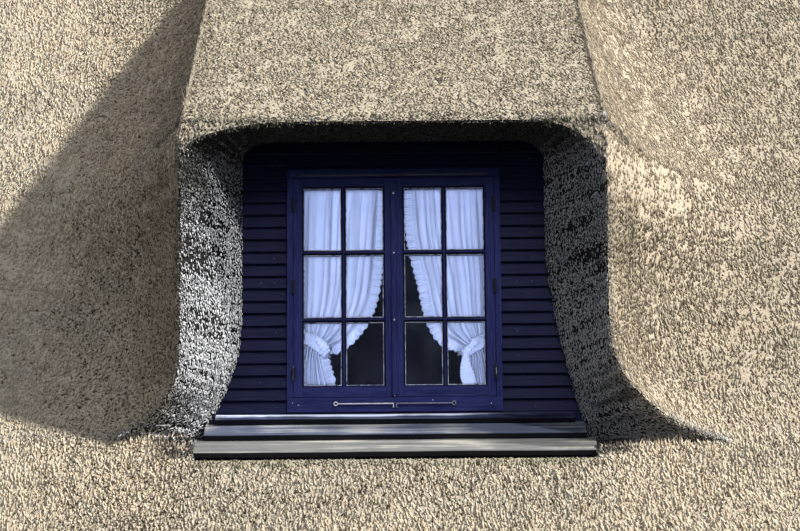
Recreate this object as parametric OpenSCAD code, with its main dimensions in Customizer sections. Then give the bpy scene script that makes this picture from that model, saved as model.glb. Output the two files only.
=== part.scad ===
// Dormer window in a reed-thatched roof, with the bay of roof it stands in. Millimetres.
// X runs along the roof, +Y into the building, +Z up. The origin is the middle of the
// wall plate's underside, below the middle of the window.

/* [Roof] */
// Width of the bay of roof, X
bay_width = 5200; // [4900:50:5600]
// Height of the level cut at the top, above the wall plate's underside
bay_height = 4700; // [4500:20:4740]
// Height of the thatch's lower outer edge
eaves_height = 340; // [300:10:450]
// Slope of the main roof in degrees
roof_pitch = 50; // [48:1:52]
// How far the dormer's roof still stands out from the main slope at the top cut, Y
hood_stand = 130; // [80:10:200]
// Thickness of the reed, square to the main slope
thatch = 320; // [280:5:340]

/* [Opening in the thatch] */
// Half width of the opening at its outer edge
opening_half = 1090; // [1060:5:1120]
// Half width of the visible boarded front
front_half = 795; // [760:5:830]
// Half width at which the boarded front and the dormer's cheeks end
cheek_half = 1000; // [990:5:1040]
// Run and drop of the rounded corner, left side
corner_left = [600, 220];
// Run and drop of the rounded corner, right side
corner_right = [400, 340];
// How far the brow's corners lean out below its lip
corner_lean = 100; // [0:10:140]
// How far the dressed reed swells and dips from even, on its outer faces
swell_height = 8; // [0:2:14]
// Spread of the opening at its foot, left side
spread_left = 360; // [250:10:450]
// Spread of the opening at its foot, right side
spread_right = 600; // [400:10:650]
// Height of the spread's tails above the apron's foot, left and right
tail_rise = [125, 80];
// Width of the sweep from the hood's edge down to the main slope
sweep = 1150; // [1000:10:1250]

/* [Window] */
// Height of the window frame's underside above the wall plate's underside
sill_height = 1360; // [1340:5:1380]
// Window frame over all, X
frame_width = 1115; // [1080:5:1150]
// Window frame over all, Z
frame_height = 1295; // [1250:5:1340]
// Depth of the window frame
frame_depth = 110; // [100:2:120]
// Visible width of the jambs
jamb = 32; // [28:1:38]
// Visible height of the head
head = 47; // [42:1:52]
// Visible height of the sill
sill = 77; // [70:1:84]
// Height from the frame's top to the soffit of the thatch
over_frame = 155; // [130:5:170]
// Width of the stiles and of the top rails
stile = 54; // [48:1:60]
// Height of the bottom rails
bottom_rail = 62; // [56:1:70]
// Thickness of a sash
sash_t = 44; // [40:1:50]
// Width of a glazing bar
bar = 25; // [20:1:30]
// Thickness of the glass
glass_t = 4; // [3:1:6]
// Width and thickness of the strip over the meeting stiles
astragal = [27, 12];

/* [Boarding] */
// Height of board to be seen, near enough
lap_target = 65; // [55:1:80]
// Thickness at a board's lower edge
butt = 28; // [22:1:32]
// Thickness at a board's top, where the next one covers it
tip = 10; // [8:1:14]
// Slope of the apron's planks in degrees
apron_pitch = 28; // [26:1:30]
// Thickness of the apron's planks
plank_t = 32; // [28:1:36]
// Visible depth of the three planks, top, middle, bottom
plank_show = [92, 155, 180];
// Half lengths of the three planks
plank_half = [925, 975, 1020];
// Drop from the window frame's underside to the thatch below the apron
apron_drop = 310; // [290:5:320]

/* [Timber] */
// Width and height of the wall plate
plate = [150, 100];
// Width and depth of a rafter
rafter = [75, 175];
// Seat of a rafter on the wall plate
seat = 80; // [70:5:90]
// Distance between rafters
rafter_gap = 467; // [440:1:490]
// Thickness and width of a batten
batten = [38, 50];
// Distance between battens along the slope
batten_gap = 320; // [280:5:360]
// Depth of the front wall's posts
post = 75; // [70:1:90]
// Depth of the dormer's rafters
hood_rafter = 150; // [120:5:170]
// Thickness of the lining boards
lining = 12; // [10:1:18]
// Height of the upper header
header_h = 200; // [150:10:240]
// Height of the header below the dormer's front
foot_header_h = 250; // [200:10:280]

/* [Curtains] */
// Width of a drawn curtain at its head
curtain_w = 505; // [480:5:520]
// Distance from the middle of the window to a curtain's free edge
curtain_gap = 40; // [20:5:60]
// Height of the tie above the sash's foot
tie_height = 280; // [200:10:400]
// Diameter of the rod
rod_d = 16; // [12:1:25]
// How far the rod stands off the lining
rod_off = 48; // [40:2:80]
// Thickness of the gathered cloth
curtain_t = 24; // [16:2:40]

/* [Hidden] */
e = 0.01;
clear = 2;
sp = sin(roof_pitch);
cp = cos(roof_pitch);
tp = tan(roof_pitch);
half = bay_width / 2;
// Planes square to the main slope are named by their distance; plane_y gives Y at height z.
d_under = -sp * (seat - plate[0] / 2) + cp * plate[1];
d_rafter = d_under + rafter[1];
d_in = d_rafter + batten[0];
d_out = d_in + thatch;
function plane_y(d, z) = (cp * z - d) / sp;
function plane_z(d, y) = (d + sp * y) / cp;
// Levels of the front.
foot_z = sill_height - apron_drop;
lip_z = sill_height + frame_height + over_frame;
front_y = plane_y(d_out, foot_z);
// Slope of the dormer's roof, from its lip to the top cut.
th = (bay_height - lip_z) / (plane_y(d_out, bay_height) - hood_stand - front_y);
hood_pitch = atan(th);
wall_y = plane_y(d_in, foot_z);
board_y = wall_y - butt - clear;
frame_y = wall_y - butt - 10;
// Planes of the dormer's roof, by height at Y.
function hood_z(y) = lip_z + (y - wall_y) * th;
reach = wall_y - front_y;
in_drop = batten[0] / cos(hood_pitch);
raf_drop = in_drop + hood_rafter / cos(hood_pitch);
trim_in = cheek_half - rafter[0];
post_back = wall_y + post;
// Window.
sash_z = sill_height + sill;
sash_h = frame_height - sill - head;
sash_w = frame_width / 2 - jamb;
top_of_frame = sill_height + frame_height;
gap = 2;
rebate = 9;
pane_w = (sash_w - gap - gap / 2 - 2 * stile - bar) / 2;
pane_h = (sash_h - 2 * gap - stile - bottom_rail - 2 * bar) / 3;
// Lapped boards.
laps = round((lip_z - sill_height) / lap_target);
lap = (lip_z - sill_height) / laps;

thatch_colour = [0.72, 0.62, 0.43];
timber_colour = [0.62, 0.48, 0.32];
navy = [0.07, 0.08, 0.20];
grey = [0.42, 0.43, 0.44];

// Shapes used again and again.

// A prism along X from x0 to x1 over a list of [y, z] points.
module along(x0, x1, pts) {
    translate([x0, 0, 0])
        multmatrix([[0, 0, 1, 0], [1, 0, 0, 0], [0, 1, 0, 0], [0, 0, 0, 1]])
            linear_extrude(height = x1 - x0) polygon(pts);
}

module block(x0, x1, y0, y1, z0, z1) {
    translate([x0, y0, z0]) cube([x1 - x0, y1 - y0, z1 - z0]);
}

module rod_x(x0, x1, y, z, d) {
    translate([x0, y, z]) rotate([0, 90, 0]) cylinder(h = x1 - x0, d = d, $fn = 24);
}

module rod_y(x, y0, y1, z, d) {
    translate([x, y0, z]) rotate([-90, 0, 0]) cylinder(h = y1 - y0, d = d, $fn = 24);
}

// The reed around the opening is built in level sections. s is -1 on the left, 1 on the right.
function corner(s) = s < 0 ? corner_left : corner_right;
function spread(s) = s < 0 ? spread_left : spread_right;
function tail_z(s) = foot_z + tail_rise[s < 0 ? 0 : 1];
spread_start = [340, 490];
function spread_top(s) = sill_height + spread_start[s < 0 ? 0 : 1];
function spread_power(s) = s < 0 ? 3.6 : 3.4;
// Part of the way a point is into a quarter round, from its foot.
function round_in(u) = 1 - sqrt(max(0, 1 - u * u));
// Outer edge of the opening at height z.
function outer_x(s, z) =
    let (c = corner(s), k = (z - lip_z + c[1]) / c[1],
        f = (spread_top(s) - z) / (spread_top(s) - tail_z(s)))
    z > lip_z - c[1] ? opening_half - c[0] * round_in(min(1, k))
    : opening_half + (f > 0 ? spread(s) * pow(f, spread_power(s)) : 0);
// Inner edge of the opening, against the boarding.
inner_round = [150, 110];
inner_start = [450, 840];
inner_foot = sill_height - 100;
inner_spread = cheek_half - 15 - front_half;
function inner_x(s, z) =
    let (k = (z - lip_z + inner_round[1]) / inner_round[1],
        i = s < 0 ? 0 : 1, top = sill_height + inner_start[i],
        f = min(1, (top - z) / (top - inner_foot)))
    z > lip_z - inner_round[1] ? front_half - inner_round[0] * round_in(min(1, k))
    : front_half + (f > 0 ? inner_spread * pow(f, [1.7, 1.45][i]) : 0);
function smooth(t) = let (c = min(1, max(0, t))) c * c * (3 - 2 * c);
// How far the brow's corner leans out at height z: most at the foot of its round, then back again.
lean_fade = 400;
function lean(s, z) =
    let (k = lip_z - z, c = corner(s)[1])
    corner_lean * (k < c ? sin(90 * max(0, k) / c)
        : (1 + cos(180 * min(1, (k - c) / lean_fade))) / 2);
// Y of the reed's face at the outer edge.
function edge_y(s, z) =
    let (m = plane_y(d_out, z))
    z > lip_z ? front_y + (z - lip_z) / th
    : m - (m - front_y + lean(s, z)) * smooth((z - tail_z(s)) / 240);
// How far that edge stands out from the main slope, and how wide the sweep is there.
stand_max = plane_y(d_out, lip_z) - front_y;
function stand(s, z) = plane_y(d_out, z) - edge_y(s, z);
sweep_least = sweep / 6;
function sweep_w(s, z) = sweep_least + (sweep - sweep_least) * stand(s, z) / stand_max;
// Low swells of the dressed face, in both directions; they fade out over this distance to every edge.
swell_pitch = 610;
swell_fade = 280;
function fade(d) = smooth(d / swell_fade);
function swells(x, z) =
    swell_height * fade(bay_height - z) * fade(half - abs(x))
    * sin(360 * x / swell_pitch + 80 * sin(z / 5)) * sin(360 * z / swell_pitch + 65 * sin(x / 4));
// Y of the reed's face at x beyond the edge at x0.
function face_y(s, x0, x, z) =
    plane_y(d_out, z) - stand(s, z) * pow(max(0, 1 - (x - x0) / sweep_w(s, z)), 2.5)
    - swells(s * x, z) * fade(x - x0) * fade(z - tail_z(s));
sweep_steps = 9;
columns = sweep_steps + 4;
edge_step = 15;
function sweep_x(s, x0, z, j) =
    let (u = max(0, j - sweep_steps) / (columns + 1 - sweep_steps),
        x = x0 + edge_step + sweep_w(s, z) * pow(min(1, j / sweep_steps), 1.25))
    x + (half - x) * u;

// One level section beside the opening, front points first, then the back ones.
function section(s, z) =
    let (bx = outer_x(s, z), x0 = max(opening_half, bx),
        cx = max(opening_half, bx + edge_step), back = plane_y(d_in, z))
    concat(
        [[inner_x(s, z), board_y], [bx, edge_y(s, z)], [cx, face_y(s, x0, cx, z)]],
        [for (j = [1:columns]) let (x = sweep_x(s, x0, z, j)) [x, face_y(s, x0, x, z)]],
        [[half, plane_y(d_out, z)], [half, back]],
        [for (j = [columns:-1:1]) [sweep_x(s, x0, z, j), back]],
        [[cheek_half, back], [cheek_half, board_y]]);

// One level section of the roof beside the hood, above the opening.
function upper_section(s, z) =
    let (x0 = opening_half, back = plane_y(d_in, z), in_y = wall_y + (z - lip_z) / th)
    concat(
        [[x0, in_y], [x0, edge_y(s, z)], [x0 + edge_step, face_y(s, x0, x0 + edge_step, z)]],
        [for (j = [1:columns]) let (x = sweep_x(s, x0, z, j)) [x, face_y(s, x0, x, z)]],
        [[half, plane_y(d_out, z)], [half, back]],
        [for (j = [columns:-1:1]) [sweep_x(s, x0, z, j), back]],
        [[cheek_half, back], [cheek_half, in_y]]);

// Triangles of an end section: three round the step, then strips between front and back.
n_ring = 2 * columns + 7;
last = n_ring - 1;
end_faces = concat(
    [[0, 1, last], [1, 2, last], [2, last - 1, last], [2, 3, last - 2], [2, last - 2, last - 1]],
    [for (j = [0:columns - 1]) each [[3 + j, 4 + j, last - 3 - j],
        [3 + j, last - 3 - j, last - 2 - j]]]);

// A closed solid through level sections; flip mirrors it to the left side.
module lofted(sections, heights, s) {
    n = len(heights);
    pts = [for (i = [0:n - 1]) for (p = sections[i]) [s * p[0], p[1], heights[i]]];
    low = [for (f = end_faces) s > 0 ? f : [f[2], f[1], f[0]]];
    high = [for (f = end_faces) let (g = [for (k = f) k + (n - 1) * n_ring])
        s > 0 ? [g[2], g[1], g[0]] : g];
    sides = [for (i = [0:n - 2]) for (k = [0:n_ring - 1])
        let (a = i * n_ring + k, b = i * n_ring + (k + 1) % n_ring)
        each (s > 0 ? [[a, a + n_ring, b + n_ring], [a, b + n_ring, b]]
            : [[b + n_ring, a + n_ring, a], [b, b + n_ring, a]])];
    polyhedron(points = pts, faces = concat(low, high, sides), convexity = 8);
}

function side_heights(s) = concat(
    [for (i = [0:10]) tail_z(s) + (spread_top(s) - tail_z(s)) * i / 10],
    [for (i = [1:6]) spread_top(s) + (lip_z - corner(s)[1] - spread_top(s)) * i / 6],
    [for (i = [1:9]) lip_z - corner(s)[1] * (1 - sin(i * 10))]);
upper_steps = 12;
upper_heights = [for (i = [0:upper_steps]) lip_z + (bay_height - lip_z) * i / upper_steps];

module side_thatch(s) {
    z = side_heights(s);
    lofted([for (h = z) section(s, h)], z, s);
}

module upper_thatch(s) {
    lofted([for (h = upper_heights) upper_section(s, h)], upper_heights, s);
}

// Thatch.

module thatch_below() color(thatch_colour) {
    y0 = plane_y(d_out, eaves_height);
    along(-half, half, [[y0, eaves_height], [front_y, foot_z], [wall_y, foot_z],
        [y0 + thatch * sp, eaves_height - thatch * cp]]);
    for (s = [-1, 1])
        along(s < 0 ? -half : plank_half[2] + clear, s < 0 ? -plank_half[2] - clear : half,
            [[front_y, foot_z - e], [plane_y(d_out, tail_z(s)), tail_z(s)],
            [plane_y(d_in, tail_z(s)), tail_z(s)], [wall_y, foot_z - e]]);
}

module thatch_left() color(thatch_colour) side_thatch(-1);
module thatch_right() color(thatch_colour) side_thatch(1);
module thatch_upper_left() color(thatch_colour) upper_thatch(-1);
module thatch_upper_right() color(thatch_colour) upper_thatch(1);

// The hood's outer face is a grid of points, its first row along the lip.
hood_columns = 9;
hood_x = [for (i = [0:hood_columns]) opening_half * (2 * i / hood_columns - 1)];
module thatch_hood() color(thatch_colour) {
    n = hood_columns + 1;
    m = upper_steps;
    face = [for (z = upper_heights) for (x = hood_x)
        [x, edge_y(1, z) - swells(x, z) * fade(opening_half - abs(x)) * fade(z - lip_z), z]];
    back = [for (z = [lip_z, bay_height]) for (x = [-opening_half, opening_half])
        [x, wall_y + (z - lip_z) / th, z]];
    b = len(face);
    polyhedron(points = concat(face, back), faces = concat(
        [for (i = [0:m - 1]) for (k = [0:n - 2]) let (a = i * n + k)
            each [[a, a + n, a + n + 1], [a, a + n + 1, a + 1]]],
        [concat([b + 1, b], [for (k = [0:n - 1]) k])],
        [concat([b + 2, b + 3], [for (k = [n - 1:-1:0]) m * n + k])],
        [concat([b, b + 2], [for (i = [m:-1:0]) i * n])],
        [concat([b + 3, b + 1], [for (i = [0:m]) i * n + n - 1])],
        [[b + 1, b + 3, b + 2, b]]), convexity = 4);
}

// Boarded front.

// Outline of lapped boards between two heights, in [y, z].
function lap_at(z) = floor((z - sill_height) / lap + 0.001);
function lap_face(z) = let (u = (z - sill_height) / lap - lap_at(z))
    wall_y - butt + (butt - tip) * max(0, u);
function boards(z0, z1) = concat([[wall_y, z0], [lap_face(z0), z0]],
    [for (i = [lap_at(z0) + 1:laps - 1]) let (z = sill_height + i * lap)
        each [[wall_y - tip, z], [wall_y - butt, z]]],
    [[wall_y - tip, z1], [wall_y, z1]]);

module siding_left() color(navy)
    along(-cheek_half, -frame_width / 2, boards(sill_height, lip_z));

module siding_right() color(navy)
    along(frame_width / 2, cheek_half, boards(sill_height, lip_z));

module siding_above() color(navy)
    along(-frame_width / 2, frame_width / 2, boards(top_of_frame, lip_z));

module sill_board() color(navy)
    block(-cheek_half, cheek_half, wall_y - butt, wall_y, foot_z, sill_height);

// Window frame. The rebate behind the sashes stops them.

lip_in = 14;
module jamb_at(s) {
    x1 = frame_width / 2;
    x0 = x1 - jamb;
    y1 = frame_y + frame_depth;
    zs = frame_y + sash_t + clear;
    translate([0, 0, sill_height + sill]) linear_extrude(height = sash_h)
        polygon([[s * x0, frame_y], [s * x1, frame_y], [s * x1, y1],
            [s * (x0 - lip_in), y1], [s * (x0 - lip_in), zs], [s * x0, zs]]);
}
module frame_jamb_left() color(navy) jamb_at(-1);
module frame_jamb_right() color(navy) jamb_at(1);

module frame_head() color(navy) {
    z0 = sash_z + sash_h;
    zs = frame_y + sash_t + clear;
    along(-frame_width / 2, frame_width / 2, [[frame_y, z0], [frame_y + frame_depth, z0],
        [frame_y + frame_depth, top_of_frame], [frame_y, top_of_frame]]);
    block(-frame_width / 2 + jamb + lip_in, frame_width / 2 - jamb - lip_in, zs,
        frame_y + frame_depth, z0 - lip_in, z0 + e);
}

module frame_sill() color(navy) {
    zs = frame_y + sash_t + clear;
    block(-frame_width / 2, frame_width / 2, frame_y, frame_y + frame_depth, sill_height,
        sash_z);
    block(-frame_width / 2 + jamb + lip_in, frame_width / 2 - jamb - lip_in, zs,
        frame_y + frame_depth, sash_z - e, sash_z + lip_in);
}

// A sash with two by three panes; the glass beds in a rebate cut from the outside.
function sash_x(s) = s < 0 ? -sash_w + gap : gap / 2;
wood_w = sash_w - gap - gap / 2;
function pane_x(i) = stile + i * (pane_w + bar);
function pane_z(k) = bottom_rail + k * (pane_h + bar);
rebate_d = 16;

module sash(s) {
    difference() {
        block(sash_x(s), sash_x(s) + wood_w, frame_y, frame_y + sash_t, sash_z + gap,
            sash_z + sash_h - gap);
        for (i = [0, 1], k = [0:2]) translate([sash_x(s) + pane_x(i), 0,
            sash_z + gap + pane_z(k)]) {
            block(0, pane_w, frame_y - 1, frame_y + sash_t + 1, 0, pane_h);
            block(-rebate, pane_w + rebate, frame_y - 1, frame_y + rebate_d, -rebate,
                pane_h + rebate);
        }
    }
}
module sash_left() color(navy) sash(-1);
module sash_right() color(navy) sash(1);

module panes(s) {
    m = rebate - 1;
    for (i = [0, 1], k = [0:2]) translate([sash_x(s) + pane_x(i), 0,
        sash_z + gap + pane_z(k)])
        block(-m, pane_w + m, frame_y + rebate_d - glass_t, frame_y + rebate_d, -m,
            pane_h + m);
}
module glass_left() color([0.6, 0.7, 0.85, 0.5]) panes(-1);
module glass_right() color([0.6, 0.7, 0.85, 0.5]) panes(1);

module meeting_strip() color(navy)
    block(-astragal[0] / 2, astragal[0] / 2, frame_y - astragal[1], frame_y, sash_z + 8,
        sash_z + sash_h - 8);

hinge_h = 75;
hinge_z = [0.08, 0.5, 0.9];
hinge_leaf = 12;
hinge_pin = 11;
module hinges() color(grey) {
    x = frame_width / 2 - jamb - gap / 2;
    for (s = [-1, 1], k = hinge_z) {
        z = sash_z + k * (sash_h - hinge_h);
        translate([s * x, frame_y - 6, z]) cylinder(h = hinge_h, d = hinge_pin, $fn = 24);
        block(s * x - hinge_leaf, s * x + hinge_leaf, frame_y - 2.5, frame_y, z, z + hinge_h);
    }
}

// A stay hook lies level across the sill, held by an eye at its outer end.
stay_x = [8, 305];
stay_z = sill_height + 42;
module stay(s) {
    y = frame_y - 10;
    rod_x(s < 0 ? -stay_x[1] + 8 : stay_x[0], s < 0 ? -stay_x[0] : stay_x[1] - 8, y, stay_z, 7);
    translate([s * stay_x[1], y, stay_z]) rotate([90, 0, 0])
        rotate_extrude($fn = 32) translate([9, 0]) circle(d = 6, $fn = 16);
    translate([s * stay_x[0], y, stay_z - 22]) cylinder(h = 22 + 2, d = 6, $fn = 24);
    for (x = [stay_x[1], 60]) rod_y(s * x, y - 4, frame_y, stay_z + (x > 100 ? 9 : 0), 5);
}
module stay_left() color(grey) stay(-1);
module stay_right() color(grey) stay(1);

module head_drip() color(navy)
    along(-sash_w + 30, sash_w - 30, [[frame_y, sash_z + sash_h + 6],
        [frame_y - 24, sash_z + sash_h + 6], [frame_y - 24, sash_z + sash_h + 12],
        [frame_y, sash_z + sash_h + 24]]);

// Apron. Each plank slopes forward and laps over the next one down.

ca = cos(apron_pitch);
sa = sin(apron_pitch);
plank_lap = 30;
// Upper outer corner line of plank k, where its show starts.
function show_sum(k) = k == 0 ? 0 : show_sum(k - 1) + plank_show[k - 1];
apron_y = board_y - 2 + clear;
apron_z = sill_height - 4;
function plank_y(k) = apron_y - show_sum(k) * ca + k * plank_t * sa;
function plank_z(k) = apron_z - show_sum(k) * sa - k * plank_t * ca;
module plank(k) {
    up = k == 0 ? 0 : plank_lap;
    y = plank_y(k);
    z = plank_z(k);
    l = plank_show[k];
    h = plank_half[k];
    along(-h, h, [[y + up * ca, z + up * sa], [y - l * ca, z - l * sa],
        [y - l * ca + plank_t * sa, z - l * sa - plank_t * ca],
        k == 0 ? [y, z - plank_t / ca]
            : [y + up * ca + plank_t * sa, z + up * sa - plank_t * ca]]);
}
module apron_plank_top() color(grey) plank(0);
module apron_plank_middle() color(grey) plank(1);
module apron_plank_bottom() color(grey) plank(2);

// Bearers under the planks, stepped like them.
bearer_x = [-820, -410, 0, 410, 820];
bearer_y = board_y + clear;
// A point on the underside of plank k, at distance a up the slope from its start.
function under(k, a) = [plank_y(k) + a * ca + plank_t * sa, plank_z(k) + a * sa - plank_t * ca];
module apron_bearers() color(timber_colour) {
    low = under(2, 25 - plank_show[2]);
    for (x = bearer_x)
        along(x - 25, x + 25, [[bearer_y, foot_z], [max(low[0], front_y + 1), foot_z],
            low, under(2, plank_lap), under(1, plank_lap - plank_show[1]),
            under(1, plank_lap), under(0, plank_lap - plank_show[0]),
            [bearer_y, plank_z(0) - plank_t / ca - 1]]);
}

// Timber frame.

module wall_plate() color(timber_colour)
    block(-half, half, -plate[0] / 2, plate[0] / 2, 0, plate[1]);

// A rafter from its foot to the top cut, notched over the plate and cut level at its foot.
tail_cut = 20;
foot_y = plane_y(d_in, eaves_height - thatch * cp) - 20;
tail = [[foot_y, plane_z(d_rafter, foot_y)], [foot_y, tail_cut], [-plate[0] / 2, tail_cut],
    [-plate[0] / 2, plate[1]], [plane_y(d_under, plate[1]), plate[1]]];
function rafter_side(top) = concat(tail, [[plane_y(d_under, top), top],
    [plane_y(d_rafter, top), top]]);
module rafter_at(x) along(x - rafter[0] / 2, x + rafter[0] / 2, rafter_side(bay_height));

module rafters() color(timber_colour)
    for (s = [-1, 1], i = [1:3]) rafter_at(s * (trim_in + rafter[0] + i * rafter_gap));

// The trimmers beside the dormer are doubled.
module trimmers() color(timber_colour)
    for (s = [-1, 1]) along(min(s * trim_in, s * (trim_in + 2 * rafter[0])),
        max(s * trim_in, s * (trim_in + 2 * rafter[0])), rafter_side(bay_height));

jack_x = [-700, -234, 234, 700];
module jack_rafters() color(timber_colour)
    for (x = jack_x) along(x - rafter[0] / 2, x + rafter[0] / 2, concat(tail,
        [[wall_y, plane_z(d_under, wall_y)], [wall_y, plane_z(d_rafter, wall_y)]]));

// Posts of the dormer's front: at the corners, beside the window, and one below its sill.
module front_posts() color(timber_colour) {
    for (s = [-1, 1]) {
        along(min(s * trim_in, s * cheek_half), max(s * trim_in, s * cheek_half),
            [[wall_y, plane_z(d_rafter, wall_y)], [post_back, plane_z(d_rafter, post_back)],
            [post_back, top_of_frame], [wall_y, top_of_frame]]);
        x = frame_width / 2;
        block(min(s * x, s * (x + 75)), max(s * x, s * (x + 75)), wall_y, post_back, foot_z,
            top_of_frame);
    }
    block(-37, 37, wall_y, post_back, foot_z, sill_height - 75);
}

module head_beam() color(timber_colour)
    block(-cheek_half, cheek_half, wall_y, post_back, top_of_frame, lip_z);

module sill_beam() color(timber_colour)
    block(-frame_width / 2, frame_width / 2, wall_y, post_back, sill_height - 75, sill_height);

// Cheek: studs, a sloping top rail under the outer hood rafter, lining inside.
function cheek_top(y) = hood_z(y) - raf_drop;
function cheek_foot(y) = plane_z(d_rafter, y);
cheek_end = (lip_z - wall_y * th - raf_drop - d_rafter / cp) / (tp - th);
cheek_y = [post_back, post_back + 75];
module cheek(s) {
    x0 = min(s * trim_in, s * cheek_half);
    y1 = cheek_end - 90;
    along(x0, x0 + rafter[0], [[post_back, cheek_foot(post_back)], [y1, cheek_foot(y1)],
        [y1, cheek_top(y1)], [post_back, cheek_top(post_back)], [post_back,
        cheek_top(post_back) - 85], [y1 - 260, cheek_top(y1 - 260) - 85],
        [y1 - 260, cheek_foot(y1 - 260) + 85], [post_back, cheek_foot(post_back) + 85]]);
    for (i = [1:3]) {
        y = post_back + i * (y1 - 260 - post_back) / 4;
        along(x0, x0 + rafter[0], [[y, cheek_foot(y) + 84], [y + 60, cheek_foot(y + 60) + 84],
            [y + 60, cheek_top(y + 60) - 84], [y, cheek_top(y) - 84]]);
    }
    xl = s < 0 ? -trim_in : trim_in - lining;
    along(xl, xl + lining, [[post_back + lining, cheek_foot(post_back + lining)],
        [y1, cheek_foot(y1)], [y1, cheek_top(y1)],
        [post_back + lining, cheek_top(post_back + lining)]]);
}
module cheek_left() color(timber_colour) cheek(-1);
module cheek_right() color(timber_colour) cheek(1);

// Rafters of the dormer's roof, butted against the head beam and cut level at the top.
hood_rafter_x = [-cheek_half + rafter[0] / 2, -480, 0, 480, cheek_half - rafter[0] / 2];
hood_top_y = wall_y + (bay_height + in_drop - lip_z) / th;
hood_low_y = wall_y + (bay_height + raf_drop - lip_z) / th;
module hood_rafters() color(timber_colour)
    for (x = hood_rafter_x) along(x - rafter[0] / 2, x + rafter[0] / 2,
        [[post_back, hood_z(post_back) - raf_drop], [hood_low_y, bay_height],
        [hood_top_y, bay_height], [post_back, hood_z(post_back) - in_drop]]);

// Headers between the trimmers: under the dormer's front, and under its rafters' upper part.
module headers() color(timber_colour) {
    block(-trim_in, trim_in, wall_y, post_back, foot_z - foot_header_h, foot_z);
    y = cheek_end - rafter[0];
    along(-trim_in, trim_in, [[y, cheek_top(y)], [y, cheek_top(y) - header_h],
        [y + rafter[0], cheek_top(y) - header_h], [y + rafter[0], cheek_top(y + rafter[0])]]);
}

// Battens of the main slope: t is the distance up the slope from the eaves.
module batten_row(x0, x1, t) {
    y = plane_y(d_rafter, eaves_height - thatch * cp) + t * cp;
    z = eaves_height - thatch * cp + t * sp;
    along(x0, x1, [[y, z], [y + batten[1] * cp, z + batten[1] * sp],
        [y + batten[1] * cp - batten[0] * sp, z + batten[1] * sp + batten[0] * cp],
        [y - batten[0] * sp, z + batten[0] * cp]]);
}
slope_foot = (foot_z - eaves_height + thatch * cp) / sp;
slope_top = (bay_height - eaves_height + thatch * cp) / sp;
rows_below = floor((slope_foot - 150) / batten_gap);
rows_all = floor((slope_top - 150) / batten_gap);
// The lowest one of those below is a wedge that tilts the first course of reed.
module battens_below() color(timber_colour) {
    for (i = [0:rows_below]) batten_row(-half, half, 70 + i * batten_gap);
    z = eaves_height - thatch * cp;
    y = plane_y(d_rafter, z);
    along(-half, half, [[y, z], [y + 55 * cp, z + 55 * sp],
        [y - batten[0] * sp, z + batten[0] * cp]]);
}
module battens_sides() color(timber_colour)
    for (i = [rows_below + 1:rows_all]) {
        batten_row(-half, -cheek_half, 70 + i * batten_gap);
        batten_row(cheek_half, half, 70 + i * batten_gap);
    }

ch = cos(hood_pitch);
sh = sin(hood_pitch);
hood_rows = floor(((bay_height - lip_z) / sh - 200) / batten_gap);
module battens_hood() color(timber_colour)
    for (i = [0:hood_rows]) {
        y = post_back + 60 + i * batten_gap * ch;
        z = hood_z(y) - in_drop;
        along(-cheek_half, cheek_half, [[y, z], [y + batten[1] * ch, z + batten[1] * sh],
            [y + batten[1] * ch - batten[0] * sh, z + batten[1] * sh + batten[0] * ch],
            [y - batten[0] * sh, z + batten[0] * ch]]);
    }

// Lining of the room side, round the window.
lining_top = cheek_top(post_back);
module lining_boards() color(timber_colour) {
    x = frame_width / 2 - 6;
    block(-trim_in, -x, post_back, post_back + lining, foot_z + 90, lining_top);
    block(x, trim_in, post_back, post_back + lining, foot_z + 90, lining_top);
    block(-x - e, x + e, post_back, post_back + lining, foot_z + 90, sill_height + 6);
}

// Curtains: each hangs from the rod and is tied back at the side.
rod_z = top_of_frame - 60;
rod_y0 = post_back + lining + rod_off;
module curtain(s) {
    z1 = rod_z - rod_d / 2;
    z0 = sash_z + 10;
    tie = z0 + tie_height;
    drop = z1 - tie;
    x0 = curtain_gap;
    w = curtain_w;
    translate([0, rod_y0 + curtain_t / 2, 0]) rotate([90, 0, 0])
        linear_extrude(height = curtain_t)
            polygon([[s * (x0 + w), z1], [s * x0, z1], [s * (x0 + 0.03 * w), tie + 0.55 * drop],
                [s * (x0 + 0.14 * w), tie + 0.33 * drop], [s * (x0 + 0.3 * w), tie + 0.14 * drop],
                [s * (x0 + 0.58 * w), tie], [s * (x0 + 0.55 * w), z0 + 0.45 * tie_height],
                [s * (x0 + 0.52 * w), z0], [s * (x0 + 0.91 * w), z0], [s * (x0 + 0.95 * w), tie]]);
}
module curtain_left() color([0.93, 0.93, 0.96]) curtain(-1);
module curtain_right() color([0.93, 0.93, 0.96]) curtain(1);

module curtain_rod() color([0.5, 0.42, 0.3]) {
    l = curtain_gap + curtain_w + 50;
    rod_x(-l, l, rod_y0, rod_z, rod_d);
    for (s = [-1, 1]) block(s * (l - 15) - 8, s * (l - 15) + 8, post_back + lining, rod_y0 + 4,
        rod_z - rod_d - 4, rod_z + 4);
}

thatch_below();
thatch_left();
thatch_right();
thatch_hood();
thatch_upper_left();
thatch_upper_right();
siding_left();
siding_right();
siding_above();
sill_board();
frame_jamb_left();
frame_jamb_right();
frame_head();
frame_sill();
sash_left();
sash_right();
glass_left();
glass_right();
meeting_strip();
hinges();
stay_left();
stay_right();
head_drip();
apron_plank_top();
apron_plank_middle();
apron_plank_bottom();
apron_bearers();
wall_plate();
rafters();
trimmers();
jack_rafters();
headers();
front_posts();
head_beam();
sill_beam();
cheek_left();
cheek_right();
hood_rafters();
battens_below();
battens_sides();
battens_hood();
lining_boards();
curtain_left();
curtain_right();
curtain_rod();
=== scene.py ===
"""A thatched roof's dormer window: its reed, boards, joinery, curtains and timbers around the fixed frame."""
import math

import bmesh
import bpy
import numpy as np
from mathutils import Matrix, Vector, noise
from mathutils.bvhtree import BVHTree
from mathutils.kdtree import KDTree


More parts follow.
